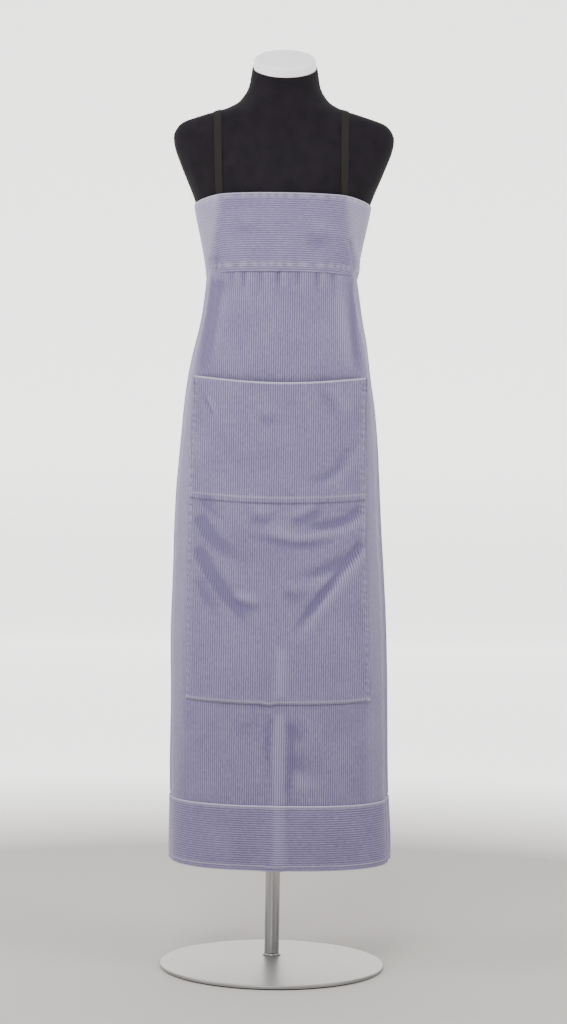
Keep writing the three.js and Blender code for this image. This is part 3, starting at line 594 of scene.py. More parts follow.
CLOTH_NODES = [
    "bib_band", "front_panel", "back_panel_left", "back_panel_right",
    "hem_band_front", "hem_band_left", "hem_band_right",
]
HEM_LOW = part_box("hem_band_front")[0].z
HEM_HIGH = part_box("hem_band_front")[1].z
BAND_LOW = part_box("bib_band")[0].z
BAND_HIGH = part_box("bib_band")[1].z
SIDE_DROP = 10 * MM  # how much lower the band's upper edge is at the sides
LIFT = 4 * MM  # how far the upper layer stands off at the back
LAP = 30 * MM  # from centre back to either end of the lap

garment = Round(CLOTH_NODES, HEM_LOW + 0.6 * MM, BAND_HIGH - 0.6 * MM)


def angle_of(phi):
    """From a turn measured from centre front, positive to +X, to the frame's angle."""
    return phi - math.pi / 2


def edges_of(nodes, measure):
    """Where the side edges of some nodes run: (heights, lowest, highest) of a measure of their
    points, one for each of the rows that they were laid out in."""
    points = np.array([v.co for name in nodes for v in frame["nodes"][name].data.vertices])
    points = points[points[:, 2].argsort()]
    rows = np.split(points, np.flatnonzero(np.diff(points[:, 2]) > 8 * MM) + 1)
    found = []
    for row in rows:
        values = measure(row)
        ends = row[[values.argmin(), values.argmax()]]
        found.append((ends[:, 2].mean(), values.min(), values.max()))
    return np.array(found).T


FRONT_EDGES = edges_of(["front_panel"], lambda p: np.arctan2(p[:, 0], AXIS_Y - p[:, 1]))


def seam_left(z):
    return np.interp(z, FRONT_EDGES[0], FRONT_EDGES[1])


def seam_right(z):
    return np.interp(z, FRONT_EDGES[0], FRONT_EDGES[2])


def lap_turn(z):
    """How far past centre back the lap reaches, as a turn."""
    return LAP / garment.field.at(angle_of(math.pi), z)


def under_lap(x, y):
    """How far the under layer sits in from the outer one, near the lap on the back."""
    return np.where(y > AXIS_Y, LIFT * smooth((x + 42 * MM) / (24 * MM)), 0)


def on_front(y):
    return smooth((AXIS_Y + 8 * MM - y) / (22 * MM))


pocket_face = Front(["pocket_lower", "pocket_upper"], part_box("pocket_lower")[0].z + MM,
                    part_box("pocket_upper")[1].z - MM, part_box("pocket_lower")[1].x - MM)
POCKET_EDGES = edges_of(["pocket_lower", "pocket_upper"], lambda p: p[:, 0])


def pocket_half(z):
    """Half the pocket's width, which grows towards its bottom."""
    return np.interp(z, POCKET_EDGES[0], (POCKET_EDGES[2] - POCKET_EDGES[1]) / 2)


def pocket_x(z):
    """The middle of the pocket, which swings a little with the skirt."""
    return np.interp(z, POCKET_EDGES[0], (POCKET_EDGES[2] + POCKET_EDGES[1]) / 2)


def sunk_under_pocket(x, z):
    """The front panel hangs a little behind the pocket, where the pocket hides it."""
    low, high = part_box("pocket_lower")[0].z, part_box("pocket_upper")[1].z
    side = smooth((pocket_half(z) - 7 * MM - np.abs(x - pocket_x(z))) / (12 * MM))
    level = smooth((z - low - 8 * MM) / (20 * MM)) * smooth((high - 40 * MM - z) / (20 * MM))
    return 6 * MM * side * level


# Creases are (X, Z) lines in mm seen from in front.
def skirt_folds(x, z):
    total = fold(x, z, [(-117, 1174), (-122, 1120), (-131, 1055), (-139, 992)], 8, 3.4, -0.9, 0.1, 0.4)
    total += fold(x, z, [(122, 1176), (124, 1120), (129, 1060), (135, 1000)], 8, 3.6, 0.9, 0.1, 0.4)
    total += fold(x, z, [(96, 1170), (101, 1110), (110, 1050), (122, 1000)], 9, -2.2, 0, 0.3, 0.4)
    total += fold(x, z, [(-98, 1170), (-104, 1110), (-112, 1050), (-122, 1000)], 9, -1.8, 0, 0.3, 0.4)
    total += fold(x, z, [(-24, 1150), (-8, 1157), (12, 1158), (30, 1152), (44, 1146)], 2.4, -1.1, 0,
                  0.3, 0.3)
    for top, low, depth in [(-84, -90, 1.2), (-64, -70, 2.0), (-36, -40, 1.2), (-6, -6, 2.0),
                            (28, 30, 1.3), (60, 64, 2.0), (88, 92, 1.5)]:
        total += fold(x, z, [(top, 1182), (top, 1160), (low, 1130)], 5, depth, 0.5, 0.05, 0.8)
    total += fold(x, z, [(9, 452), (7, 400), (9, 330), (10, 240), (10, 176)], 9, -3.4, 0, 0.2, 0.05)
    total += fold(x, z, [(-6, 446), (-10, 380), (-8, 300)], 7, 1.6, 0, 0.2, 0.6)
    total += fold(x, z, [(22, 446), (27, 380), (24, 310), (22, 220)], 8, 1.8, 0, 0.2, 0.5)
    total += fold(x, z, [(18, 425), (38, 402), (60, 392)], 8, 1.6, -0.5, 0.3, 0.5)
    total += fold(x, z, [(20, 366), (44, 350), (66, 352)], 9, 1.5, -0.6, 0.3, 0.5)
    total += fold(x, z, [(-16, 432), (-50, 420), (-84, 424)], 8, 1.1, -0.6, 0.3, 0.5)
    total += fold(x, z, [(24, 330), (52, 318), (90, 330)], 9, -1.4, -0.6, 0.3, 0.5)
    return total


def pocket_folds(x, z):
    total = fold(x, z, [(-142, 770), (-122, 738), (-96, 712), (-56, 692), (-16, 690)], 6, 3.2, -0.7,
                 0.1, 0.7)
    total += fold(x, z, [(-142, 716), (-122, 680), (-98, 645), (-66, 606), (-36, 570)], 6, 3.6, -0.7,
                  0.12, 0.5)
    total += fold(x, z, [(-138, 664), (-120, 628), (-92, 590)], 6, 1.8, -0.6, 0.15, 0.6)
    total += fold(x, z, [(-134, 800), (-112, 776), (-78, 762)], 7, 2.2, -0.6, 0.15, 0.6)
    total += fold(x, z, [(148, 733), (118, 692), (87, 652), (50, 602), (20, 558)], 7.5, 4.4, 0.7, 0.12,
                  0.45)
    total += fold(x, z, [(146, 786), (112, 762), (72, 752), (40, 754)], 8, 3.2, 0.7, 0.12, 0.45)
    total += fold(x, z, [(-58, 736), (-20, 730), (18, 722), (46, 720), (80, 728), (120, 748)], 7, 2.8,
                  0.6, 0.4, 0.4)
    total += fold(x, z, [(128, 712), (92, 686), (56, 672), (24, 668)], 10, 3.0, 0.6, 0.3, 0.5)
    total += fold(x, z, [(-80, 624), (-50, 616), (-16, 612)], 8, 2.6, 0.7, 0.3, 0.5)
    total += fold(x, z, [(-52, 766), (-20, 762), (6, 778)], 8, 2.0, 0.6, 0.3, 0.5)
    total += fold(x, z, [(16, 764), (34, 760), (56, 770), (78, 786)], 8, 2.6, 0.5, 0.3, 0.3)
    total += fold(x, z, [(6, 640), (30, 634), (54, 644)], 9, 1.8, 0.6, 0.3, 0.5)
    total += fold(x, z, [(-128, 972), (-118, 950), (-108, 930)], 3.2, 1.8, 0.9, 0.3, 0.4)
    total += fold(x, z, [(136, 912), (112, 870), (84, 838), (44, 828), (10, 850)], 8, 1.8, 0.5, 0.3, 0.6)
    total += fold(x, z, [(-40, 934), (-20, 928), (4, 934)], 10, 1.6, 0.6, 0.4, 0.5)
    total += fold(x, z, [(8, 560), (10, 520), (9, 462)], 10, -2.4, 0, 0.4, 0.05)
    total += fold(x, z, [(60, 976), (84, 962), (96, 930)], 9, 1.5, 0.5, 0.4, 0.5)
    return total


def band_folds(x, z):
    total = fold(x, z, [(114, 1246), (119, 1222), (124, 1196), (127, 1178)], 3.6, 3.4, 0.55, 0.2, 0.02)
    total += fold(x, z, [(113, 1262), (112, 1240), (116, 1210)], 6, -1.0, 0, 0.3, 0.3)
    total += fold(x, z, [(-120, 1214), (-122, 1196), (-124, 1176)], 6, 2.8, -0.8, 0.3, 0.02)
    total += fold(x, z, [(30, 1240), (60, 1234), (92, 1242)], 12, 1.4, 0.6, 0.4, 0.5)
    total += fold(x, z, [(-90, 1262), (-60, 1250), (-28, 1252)], 12, 1.1, 0.6, 0.4, 0.5)
    return total


def puckers(along, size, pitch=12 * MM):
    """The small unequal gathers that a shrunken seam pulls beside it."""
    a = np.sin(TAU * along / pitch + 1.3 * np.sin(TAU * along / (5.3 * pitch)))
    b = np.sin(TAU * along / (0.61 * pitch) + 2.0)
    return size * MM * (0.7 * a + 0.4 * b)


def painted_side_sheen(x, z):
    """Painted sheen: paler cloth outside the long side folds, where the pile catches the light, as a
    share laid into the same pale mark as the worn edges. It is laid on by place, and fitted to the view from in
    front."""
    edge = np.interp(z, [0.176, 0.992, 1.174, 1.30], [0.152, 0.139, 0.117, 0.100])
    share = np.interp(z, [0.2, 0.7, 1.0, 1.17], [0.05, 0.11, 0.15, 0.2])
    return share * smooth((np.abs(x) - edge) / (16 * MM))


def near(distance, reach):
    return np.exp(-((distance / (reach * MM)) ** 2))


# ---- Garment pieces ---------------------------------------------------------------------------


def hanging_panel(name, edge_low, edge_high, centre, shape, z_low, z_high, row):
    """A panel whose wales hang down from the band. Columns stay one distance from a line down
    the cloth, and stop at its two edges."""
    levels = np.linspace(z_low, z_high, int((z_high - z_low) / row) + 1)
    lines = []
    for z in levels:
        turns = np.linspace(edge_low(z), edge_high(z), 260)
        spots = garment.point(angle_of(turns), z)
        far = np.concatenate([[0], np.cumsum(np.linalg.norm(np.diff(spots, axis=0), axis=1))])
        far -= np.interp(centre(z), turns, far)
        lines.append((turns, far))
    step = WALE / PER_WALE
    first = math.floor(min(far[0] for _, far in lines) / step)
    last = math.ceil(max(far[-1] for _, far in lines) / step)
    columns = np.arange(first, last + 1) * step
    turn = np.empty((len(levels), len(columns)))
    across = np.empty_like(turn)
    inside = np.empty_like(turn)
    for j, (turns, far) in enumerate(lines):
        across[j] = np.clip(columns, far[0], far[-1])
        turn[j] = np.interp(across[j], far, turns)
        inside[j] = np.minimum(across[j] - far[0], far[-1] - across[j])
    height = np.broadcast_to(levels[:, None], turn.shape)
    base = garment.point(angle_of(turn), height)
    out, wear_and_side_sheen = shape(base, inside, height)
    points = base + garment.normal(angle_of(turn),
                                   height) * (out + wale(across) * (1 - 0.6 * near(inside, 3)))[..., None]
    # The folds are passed on again as painted shade in the creases and painted highlight on the ridges.
    obj = cloth(name + "_cloth", CORDUROY, "form", points, np.stack([across, height], -1), wear_and_side_sheen,
                skirt_folds(base[..., 0], height) * on_front(base[..., 1]))
    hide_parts(name)


def ends_held(z):
    """A panel tucks under the bands at its top and bottom."""
    return -1.8 * MM * (near(z - BAND_LOW - 4 * MM, 6) + near(z - HEM_HIGH + 4 * MM, 6))


def front_shape(base, inside, z):
    x = base[..., 0]
    out = skirt_folds(x, z) * on_front(base[..., 1]) - sunk_under_pocket(x, z) + ripple(x, z,
                                                                                        0.9) + ends_held(z)
    out = out - 1.2 * MM * near(inside, 2.2) + puckers(z, 0.6) * near(inside - 5 * MM, 4)
    # Pale worn seam edges, with painted sheen on the sides.
    wear_and_side_sheen = 0.3 * near(inside - 2.5 * MM, 1.6) + painted_side_sheen(x, z)
    return out, wear_and_side_sheen


def side_swing(runs, z):
    """Long soft folds that hang from the band down the sides and the back."""
    grow = smooth((BAND_LOW - z) / 0.35)
    wave = np.sin(runs * 41 + 2.4 * z) + 0.5 * np.sin(runs * 67 - 1.7 * z + 1.0)
    return 3.2 * MM * wave * grow


def back_shape(side):
    def shape(base, inside, z):
        x, y = base[..., 0], base[..., 1]
        free = smooth((inside - 4 * MM) / (45 * MM)) * (1 - near(x, 50) * np.where(y > AXIS_Y, 1, 0))
        out = side_swing(x + 1.7 * y, z) * free + ripple(x, z, 0.9) + ends_held(z)
        out = out + skirt_folds(x, z) * on_front(y)
        if side < 0:
            out = out - under_lap(x, y)
        sewn_edge = np.where((np.abs(x) > 2 * LAP) | (y < AXIS_Y), 1, 0.3)
        out = out - 1.2 * MM * near(inside, 2.2) * sewn_edge + puckers(z, 0.6) * near(inside - 5 * MM, 4)
        wear_and_side_sheen = np.where(sewn_edge < 1, 0.5 * near(inside, 1.4) + 0.25 * near(inside - 7 * MM, 1.2),
                        0.25 * near(inside - 2.5 * MM, 1.6))
        # Pale worn edges, with painted sheen added on the sides in front.
        return out, wear_and_side_sheen + painted_side_sheen(x, z) * on_front(y)
    return shape


PANEL_LOW = HEM_HIGH - 9 * MM
PANEL_HIGH = BAND_LOW + 8 * MM
hanging_panel("front_panel", seam_left, seam_right, lambda z: 0, front_shape,
                            PANEL_LOW, PANEL_HIGH, 5.6 * MM)
hanging_panel("back_panel_left", lambda z: -math.pi - lap_turn(z), seam_left,
              lambda z: -math.pi - lap_turn(z), back_shape(-1), PANEL_LOW, PANEL_HIGH, 8 * MM)
hanging_panel("back_panel_right", seam_right, lambda z: math.pi + lap_turn(z),
              lambda z: math.pi + lap_turn(z), back_shape(1), PANEL_LOW, PANEL_HIGH, 8 * MM)


def band_top(turn):
    """The bib band's upper edge: level in front, lower at the sides and the back."""
    side = np.abs(np.sin(turn))
    share = np.where(np.cos(turn) < 0, 1, np.maximum(0, (side - 0.75) / 0.25) ** 2)
    return BAND_HIGH - SIDE_DROP * share


def hem_low(turn):
    """The hem's lower edge, which dips at centre front."""
    return HEM_LOW + 0.4 * MM - 1.6 * MM * near(turn, 120)


def band(name, nodes, low, high, shape, turnings, column):
    """A band whose wales run round the body, with its upper and lower edges folded in."""
    middle = (HEM_LOW + HEM_HIGH) / 2 if name == "hem_band" else (BAND_LOW + BAND_HIGH) / 2
    start, end = -math.pi - lap_turn(middle), math.pi + lap_turn(middle)
    dense = np.linspace(start, end, 1400)
    spots = garment.point(angle_of(dense), middle)
    far = np.concatenate([[0], np.cumsum(np.linalg.norm(np.diff(spots, axis=0), axis=1))])
    run = np.linspace(0, far[-1], int(far[-1] / column))
    turn = np.interp(run, far, dense)
    step = WALE / PER_WALE
    depth = high(turn) - low(turn)
    fine = np.arange(0, math.pi * TURN_RADIUS, 0.35 * MM)
    top_rows = np.concatenate([fine, np.arange(fine[-1] + step, turnings[0], 2 * step)])[::-1]
    low_rows = np.concatenate([fine, np.arange(fine[-1] + step, turnings[1], 2 * step)])
    body_rows = np.arange(step, depth.max(), step)
    heights, outs, downs = [], [], []
    for d in top_rows:
        past, inward = turned_over(d)
        heights.append(high(turn) - TURN_RADIUS + past)
        outs.append(np.full_like(turn, -inward))
        downs.append(np.full_like(turn, -d))
    for d in body_rows:
        held = np.minimum(d, depth)
        heights.append(high(turn) - held)
        outs.append(np.zeros_like(turn))
        downs.append(held)
    for d in low_rows:
        past, inward = turned_over(d)
        heights.append(low(turn) + TURN_RADIUS - past)
        outs.append(np.full_like(turn, -inward))
        downs.append(depth + d)
    height, out, down = np.array(heights), np.array(outs), np.array(downs)
    turns = np.broadcast_to(turn, height.shape)
    runs = np.broadcast_to(run, height.shape)
    base = garment.point(angle_of(turns), height)
    more, wear_and_side_sheen = shape(base, turns, down, depth, runs)
    flattened = 1 - 0.5 * near(down, 3) - 0.5 * near(down - depth, 3)
    total = out + more + wale(down) * flattened + 0.8 * MM
    left_end = smooth((runs - runs[0, 0]) / (2 * MM))
    total = total - under_lap(base[..., 0], base[..., 1]) * np.where(turns < -math.pi / 2, 1, 0)
    total = total - 0.8 * MM * (1 - left_end)
    points = base + garment.normal(angle_of(turns), height) * total[..., None]
    folds = band_folds if name == "bib_band" else skirt_folds
    # The same folds, passed on as painted shade in the creases and painted highlight on the ridges.
    fold_shade = folds(base[..., 0], base[..., 2]) * on_front(base[..., 1])
    obj = cloth(name + "_cloth", CORDUROY, "form", points[::-1], np.stack([down, runs], -1)[::-1],
                wear_and_side_sheen[::-1], fold_shade[::-1])
    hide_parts(*nodes)


def seam_lines(turns, base):
    """Valleys where a band is joined at the sides, as a share."""
    away = np.minimum(np.abs(turns - seam_left(base[..., 2])), np.abs(turns - seam_right(base[..., 2])))
    return near(away * 0.19, 1.8)


def bib_shape(base, turns, down, depth, runs):
    x, z = base[..., 0], base[..., 2]
    out = band_folds(x, z) * on_front(base[..., 1]) + ripple(x, z * 0.6, 0.5)
    out = out + puckers(runs, 0.28) * near(down - 4 * MM, 4)
    out = out + puckers(runs + 0.05, 0.4, 9 * MM) * near(depth - 6 * MM - down, 7)
    worn = 0.5 + 0.5 * np.sin(runs * 330 + 3 * np.sin(runs * 47))
    wear_and_side_sheen = 0.6 * near(down - 0.2 * MM, 1.2) + 0.2 * worn * near(down - 5 * MM, 3)
    wear_and_side_sheen = wear_and_side_sheen + 0.22 * worn * near(depth - 12 * MM - down, 4) + 0.1 * near(depth - down, 1.2)
    # Pale worn edges, with painted sheen added on the sides.
    return out, np.clip(wear_and_side_sheen + painted_side_sheen(x, z), 0, 1)


def hem_shape(base, turns, down, depth, runs):
    x, z = base[..., 0], base[..., 2]
    out = skirt_folds(x, z) * on_front(base[..., 1]) + ripple(x, z, 0.9)
    away = np.minimum(np.abs(turns - seam_left(z)), np.abs(turns - seam_right(z))) * 0.19
    behind = (np.abs(turns) > seam_right(z)) * smooth((away - 4 * MM) / (45 * MM))
    out = out + side_swing(x + 1.7 * base[..., 1], z) * behind * (1 - near(x, 50))
    out = out - 1.5 * MM * seam_lines(turns, base)
    out = out + puckers(runs, 0.4, 10 * MM) * near(depth - 5 * MM - down, 5)
    out = out + puckers(runs + 0.02, 0.3) * near(down - 5 * MM, 4)
    wear_and_side_sheen = 0.8 * near(down - 0.2 * MM, 1.3) + 0.25 * near(down - 3.4 * MM, 1.2)
    wear_and_side_sheen = wear_and_side_sheen + 0.3 * near(depth - 8.5 * MM - down, 1.3) + 0.45 * near(depth - down, 1.6)
    return out, np.clip(wear_and_side_sheen, 0, 1)


band("bib_band", ["bib_band"], lambda t: BAND_LOW + 0 * t, band_top, bib_shape,
                (14 * MM, 10 * MM), 4 * MM)
band("hem_band", ["hem_band_front", "hem_band_left", "hem_band_right"], hem_low,
                lambda t: HEM_HIGH + 0 * t, hem_shape, (8 * MM, 22 * MM), 4.5 * MM)

# ---- Pocket -----------------------------------------------------------------------------------

POCKET_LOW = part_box("pocket_lower")[0].z
POCKET_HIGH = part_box("pocket_upper")[1].z
SEAM_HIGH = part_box("pocket_lower")[1].z  # where the seam meets the pocket's sides
POCKET_WIDE = float(pocket_half(POCKET_LOW))


def side_share(x, z):
    return np.clip((x - pocket_x(z)) / pocket_half(z), -1, 1)


def pocket_mouth(x):
    return POCKET_HIGH - 13 * MM * (1 - side_share(x, POCKET_HIGH) ** 2)


def pocket_seam(x):
    return SEAM_HIGH - 8 * MM * (1 - side_share(x, SEAM_HIGH) ** 2)


def pocket_bottom(x):
    notch = 2.2 * MM * near(x + 11 * MM, 9)
    return POCKET_LOW + 4 * MM * side_share(x, POCKET_LOW) ** 2 - notch


def pocket_piece(name, low, high, fold_low, fold_high, row):
    """One panel of the pocket, sewn down at its sides, with an upper or lower edge folded in
    by fold_high or fold_low, or run on under its neighbour where that is negative."""
    step = WALE / PER_WALE
    columns = math.ceil((POCKET_WIDE + 5 * MM) / step)
    across = np.arange(-columns, columns + 1) * step
    count = int(np.max(high(across) - low(across)) / row)
    fine = np.arange(0.35 * MM, math.pi * TURN_RADIUS, 0.35 * MM)
    rows = [("body", v) for v in np.linspace(0, 1, count)]
    if fold_low > 0:
        tail = np.concatenate([fine, np.arange(fine[-1] + 2 * MM, fold_low, 3 * MM)])
        rows = [("low", d) for d in tail[::-1]] + rows
    if fold_high > 0:
        tail = np.concatenate([fine, np.arange(fine[-1] + 2 * MM, fold_high, 3 * MM)])
        rows = rows + [("high", d) for d in tail]
    heights, outs, ups = [], [], []
    for kind, value in rows:
        if kind == "body":
            z = low(across) * (1 - value) + high(across) * value
            heights.append(z)
            outs.append(0 * across)
            ups.append(z)
            continue
        past, inward = turned_over(value)
        edge, way = (low(across), -1) if kind == "low" else (high(across), 1)
        heights.append(edge + way * (past - TURN_RADIUS * 0.5))
        outs.append(0 * across - inward)
        ups.append(edge + way * value)
    height, out, up = np.array(heights), np.array(outs), np.array(ups)
    half = pocket_half(height)
    centre = pocket_x(height)
    x = np.clip(np.broadcast_to(across, height.shape), centre - half, centre + half)
    inside = half - np.abs(x - centre)
    base = pocket_face.point(x, height)
    total = out + pocket_folds(x, height) * smooth(inside / (10 * MM)) + ripple(x, height,
            0.7) * smooth(inside / (14 * MM))
    total = total + puckers(height + 0.3 * x, 1.5, 13 * MM) * near(inside - 3 * MM, 6)
    total = total - 1.5 * MM * near(inside, 5) - 0.9 * MM * near(inside, 1.2)
    worn = 0.55 + 0.45 * np.sin(height * 520 + 2 * np.sin(height * 143))
    wear_and_side_sheen = 0.12 * near(inside - 0.4 * MM, 1.0) + 0.16 * worn * near(inside - 4.2 * MM, 1.6)
    if name == "pocket_upper":
        total = total + puckers(x, 0.35, 10 * MM) * near(height - low(x) - 6 * MM, 6)
        wear_and_side_sheen = wear_and_side_sheen + 0.8 * near(up - high(x), 1.1) + 0.14 * near(height - low(x) - 10 * MM, 1.6)
        total = total + 0.9 * MM * near(height - low(x), 10)
    else:
        total = total + puckers(x, 0.4, 10 * MM) * near(height - low(x) - 5 * MM, 5)
        wear_and_side_sheen = wear_and_side_sheen + 0.2 * near(height - low(x) - 4 * MM, 1.3) + 0.15 * near(height - low(x), 1.3)
        total = total - MM * (0.7 + 0.8 * side_share(x, height) ** 2) * near(high(x) - height, 9)
    total = total + wale(x, 0.4 * MM) * (1 - 0.6 * near(inside, 3))
    points = base + pocket_face.normal(x, height) * total[..., None]
    # The folds and puckers, passed on as painted shade in their hollows and painted highlight on their ridges.
    fold_shade = pocket_folds(x, height) + 1.6 * puckers(height + 0.3 * x, 1.5,
                                                     13 * MM) * near(inside - 3 * MM, 6)
    obj = cloth(name + "_cloth", CORDUROY, "form", points, np.stack([x, up], -1), np.clip(wear_and_side_sheen, 0, 1),
                fold_shade)
    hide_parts(name)
    length = float(np.max(high(across) - low(across))) + max(fold_low, 0) + max(fold_high, 0)


pocket_piece("pocket_lower", pocket_bottom, lambda x: pocket_seam(x) + 6 * MM, 9 * MM, -1, 3.4 * MM)
pocket_piece("pocket_upper", pocket_seam, pocket_mouth, 8 * MM, 26 * MM, 3.4 * MM)

# ---- Dress form -------------------------------------------------------------------------------


LIFT_AXIS = Vector(next(j for j in frame["joints"] if j["name"] == "cap_lift")["axis"]).normalized()
CAP_MIDDLE = sum(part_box("neck_cap"), Vector()) / 2
CAP_HALF = 8 * MM


def form_skin():
    """The outer skin of the knitted cover's CAD node, with its flat facets rounded out."""
    made = bmesh.new()
    made.from_mesh(frame["nodes"]["jersey_cover"].data)
    bmesh.ops.remove_doubles(made, verts=made.verts, dist=0.01 * MM)
    tree = tree_of("torso_shell")
    drop = []
    for face in made.faces:
        middle = face.calc_center_median()
        if (middle - tree.find_nearest(middle)[0]).length < MM:
            drop.append(face)
    bmesh.ops.delete(made, geom=drop, context="FACES")
    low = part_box("jersey_cover")[0].z
    rim = [f for f in made.faces if all(v.co.z < low + 0.2 * MM for v in f.verts)]
    bmesh.ops.delete(made, geom=rim, context="FACES")
    bmesh.ops.join_triangles(made, faces=made.faces, angle_face_threshold=0.7, angle_shape_threshold=1.6)
    bmesh.ops.subdivide_edges(made, edges=made.edges, cuts=3, use_grid_fill=True)
    bmesh.ops.triangulate(made, faces=[f for f in made.faces if len(f.verts) > 4])
    mesh = bpy.data.meshes.new("form_skin")
    made.to_mesh(mesh)
    made.free()
    points = np.array([v.co for v in mesh.vertices])
    edges = np.array([e.vertices for e in mesh.edges])
    used = np.array([e.is_loose for e in mesh.edges])
    edges = edges[~used]
    count = np.bincount(edges.ravel(), minlength=len(points))[:, None]
    fixed = (points[:, 2] < low + 0.2 * MM) | (count[:, 0] < 3)
    for step in [0.5, -0.52] * 22:
        total = np.zeros_like(points)
        np.add.at(total, edges[:, 0], points[edges[:, 1]])
        np.add.at(total, edges[:, 1], points[edges[:, 0]])
        move = total / np.maximum(count, 1) - points
        move[fixed] = 0
        points = points + step * move
    mesh.vertices.foreach_set("co", points.ravel())
    trimmed = bmesh.new()
    trimmed.from_mesh(mesh)
    edge = CAP_MIDDLE - LIFT_AXIS * (CAP_HALF + 0.1 * MM)
    parts = [*trimmed.verts, *trimmed.edges, *trimmed.faces]
    bmesh.ops.bisect_plane(trimmed, geom=parts, plane_co=edge, plane_no=LIFT_AXIS, clear_outer=True)
    trimmed.to_mesh(mesh)
    trimmed.free()
    mesh.update()
    return mesh


def form_cover():
    """The jersey and the moulded shell just inside it."""
    skin = form_skin()
    outward = np.array([v.normal for v in skin.vertices])
    points = np.array([v.co for v in skin.vertices])
    faces = [list(p.vertices) for p in skin.polygons]
    cover = mesh_object("jersey_cover_cloth", points + outward * 0.5 * MM, faces, JERSEY)
    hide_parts("jersey_cover")
    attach(cover, "form")
    away = (points - np.array(CAP_MIDDLE)) @ np.array(LIFT_AXIS) + CAP_HALF
    sunk = 3 * MM * near(np.minimum(away, 0), 4)
    inner = points - outward * (0.9 * MM + sunk)[:, None]
    shell = mesh_object("torso_shell_smooth", inner, faces, SHELL)
    wall = shell.modifiers.new("wall", "SOLIDIFY")
    wall.thickness = 3.5 * MM
    wall.offset = -1
    bpy.context.view_layer.objects.active = shell
    bpy.ops.object.modifier_apply(modifier="wall")
    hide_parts("torso_shell")
    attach(shell, "form")


form_cover()


def strap(name, sign, at_band, at_shoulder):
    """A flat elastic strap from inside the band's front, over the shoulder, to its back."""
    tree = tree_of("jersey_cover")
    low = BAND_HIGH - 12 * MM
    centre = Vector((0, AXIS_Y, BAND_HIGH + 0.03))
    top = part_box(name)[1].z
    line, out = [], []
    for turn in np.linspace(-50, 230, 281):
        a = math.radians(turn)
        way = Vector((0, -math.cos(a), math.sin(a)))
        x = sign * at_band
        for _ in range(3):
            start = Vector((x, centre.y, centre.z)) + way * 0.6
            hit = tree.ray_cast(start, -way)
            if hit[0] is None:
                break
            share = min(1, max(0, (hit[0].z - low) / (top - low)))
            x = sign * (at_band + (at_shoulder - at_band) * share)
        if hit[0] is not None and hit[0].z > low:
            line.append(hit[0])
            out.append(hit[1])
    line, out = np.array(line), np.array(out)
    for _ in range(12):
        line[1:-1] = (line[:-2] + 2 * line[1:-1] + line[2:]) / 4
        out[1:-1] = (out[:-2] + 2 * out[1:-1] + out[2:]) / 4
    out /= np.linalg.norm(out, axis=1, keepdims=True)
    along = np.gradient(line, axis=0)
    along /= np.linalg.norm(along, axis=1, keepdims=True)
    side = np.cross(along, out)
    side /= np.linalg.norm(side, axis=1, keepdims=True)
    wide, thick = 13 * MM, 1.1 * MM
    ring = []
    for s in np.linspace(-0.5, 0.5, 17):
        ring.append((s * wide, thick * (1 - 0.5 * abs(2 * s) ** 8)))
    for s in np.linspace(0.5, -0.5, 5):
        ring.append((s * wide, 0.1 * MM))
    far = np.concatenate([[0], np.cumsum(np.linalg.norm(np.diff(line, axis=0), axis=1))])
    stand = 0.9 * MM
    points = np.array([[p + side[k] * a + out[k] * (b + stand) for a, b in [*ring, ring[0]]]
                       for k, p in enumerate(line)])
    uv = np.array([[(a, far[k]) for a, b in [*ring, ring[0]]] for k in range(len(line))])
    obj = cloth(name + "_elastic", ELASTIC, "form", points[:, ::-1], uv[:, ::-1],
                np.zeros(points.shape[:2]), np.zeros(points.shape[:2]))
    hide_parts(name)


strap("strap_left", -1, 107 * MM, 115 * MM)
strap("strap_right", 1, 104 * MM, 105 * MM)


def neck_cap():
    low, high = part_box("neck_cap")
    turn = Vector((0, 0, 1)).rotation_difference(LIFT_AXIS).to_matrix().to_4x4()
    place = Matrix.Translation(CAP_MIDDLE) @ turn
    r = (high.x - low.x) / 2
    half = CAP_HALF
    profile = [(0, -half), (r - 1.5 * MM, -half), (r, -half + 0.6 * MM), (r, -half + 2 * MM),
               (r - 0.9 * MM, -half + 2.7 * MM), (r - 0.9 * MM, half - 3 * MM), (r - 3.6 * MM,
                                                                                 half), (0, half)]
    lathe("neck_cap_smooth", SATIN, rounded(profile, 1.6 * MM), 160, place, "cap", ["neck_cap"])


neck_cap()

# ---- Stand ------------------------------------------------------------------------------------


def upright(node):
    low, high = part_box(node)
    return Matrix.Translation(((low.x + high.x) / 2, (low.y + high.y) / 2, 0)), low, high


def base_plate():
    place, low, high = upright("base_plate")
    r = (high.x - low.x) / 2
    profile = [(0, low.z), (r - 0.6 * MM, low.z), (r, low.z + 0.6 * MM), (r, high.z - 1.2 * MM),
               (r - 1.2 * MM, high.z), (r - 9 * MM, high.z), (r * 0.5, high.z), (0, high.z)]
    lathe("base_plate_smooth", PLATE, rounded(profile, 0.8 * MM), 320, place, "stand",
          ["base_plate"])


def post():
    place, low, high = upright("post_tube")
    r = (high.x - low.x) / 2
    profile = [(r - 1.5 * MM, low.z), (r - 0.5 * MM, low.z), (r, low.z + 0.5 * MM),
               (r, (low.z + high.z) / 2),
               (r, high.z - 0.5 * MM), (r - 0.5 * MM, high.z), (r - 1.5 * MM, high.z)]
    lathe("post_tube_smooth", TUBE, profile, 96, place, "stand", ["post_tube"])
    place, low, high = upright("post_foot_ring")
    r = (high.x - low.x) / 2
    bore = r - 2.4 * MM
    profile = [(bore, low.z), (r, low.z), (r, high.z - 1.2 * MM), (r - 1.2 * MM, high.z),
               (bore, high.z), (bore, low.z)]
    lathe("post_foot_ring_smooth", TUBE, rounded(profile, 0.8 * MM), 96, place, "stand",
          ["post_foot_ring"])


base_plate()
post()

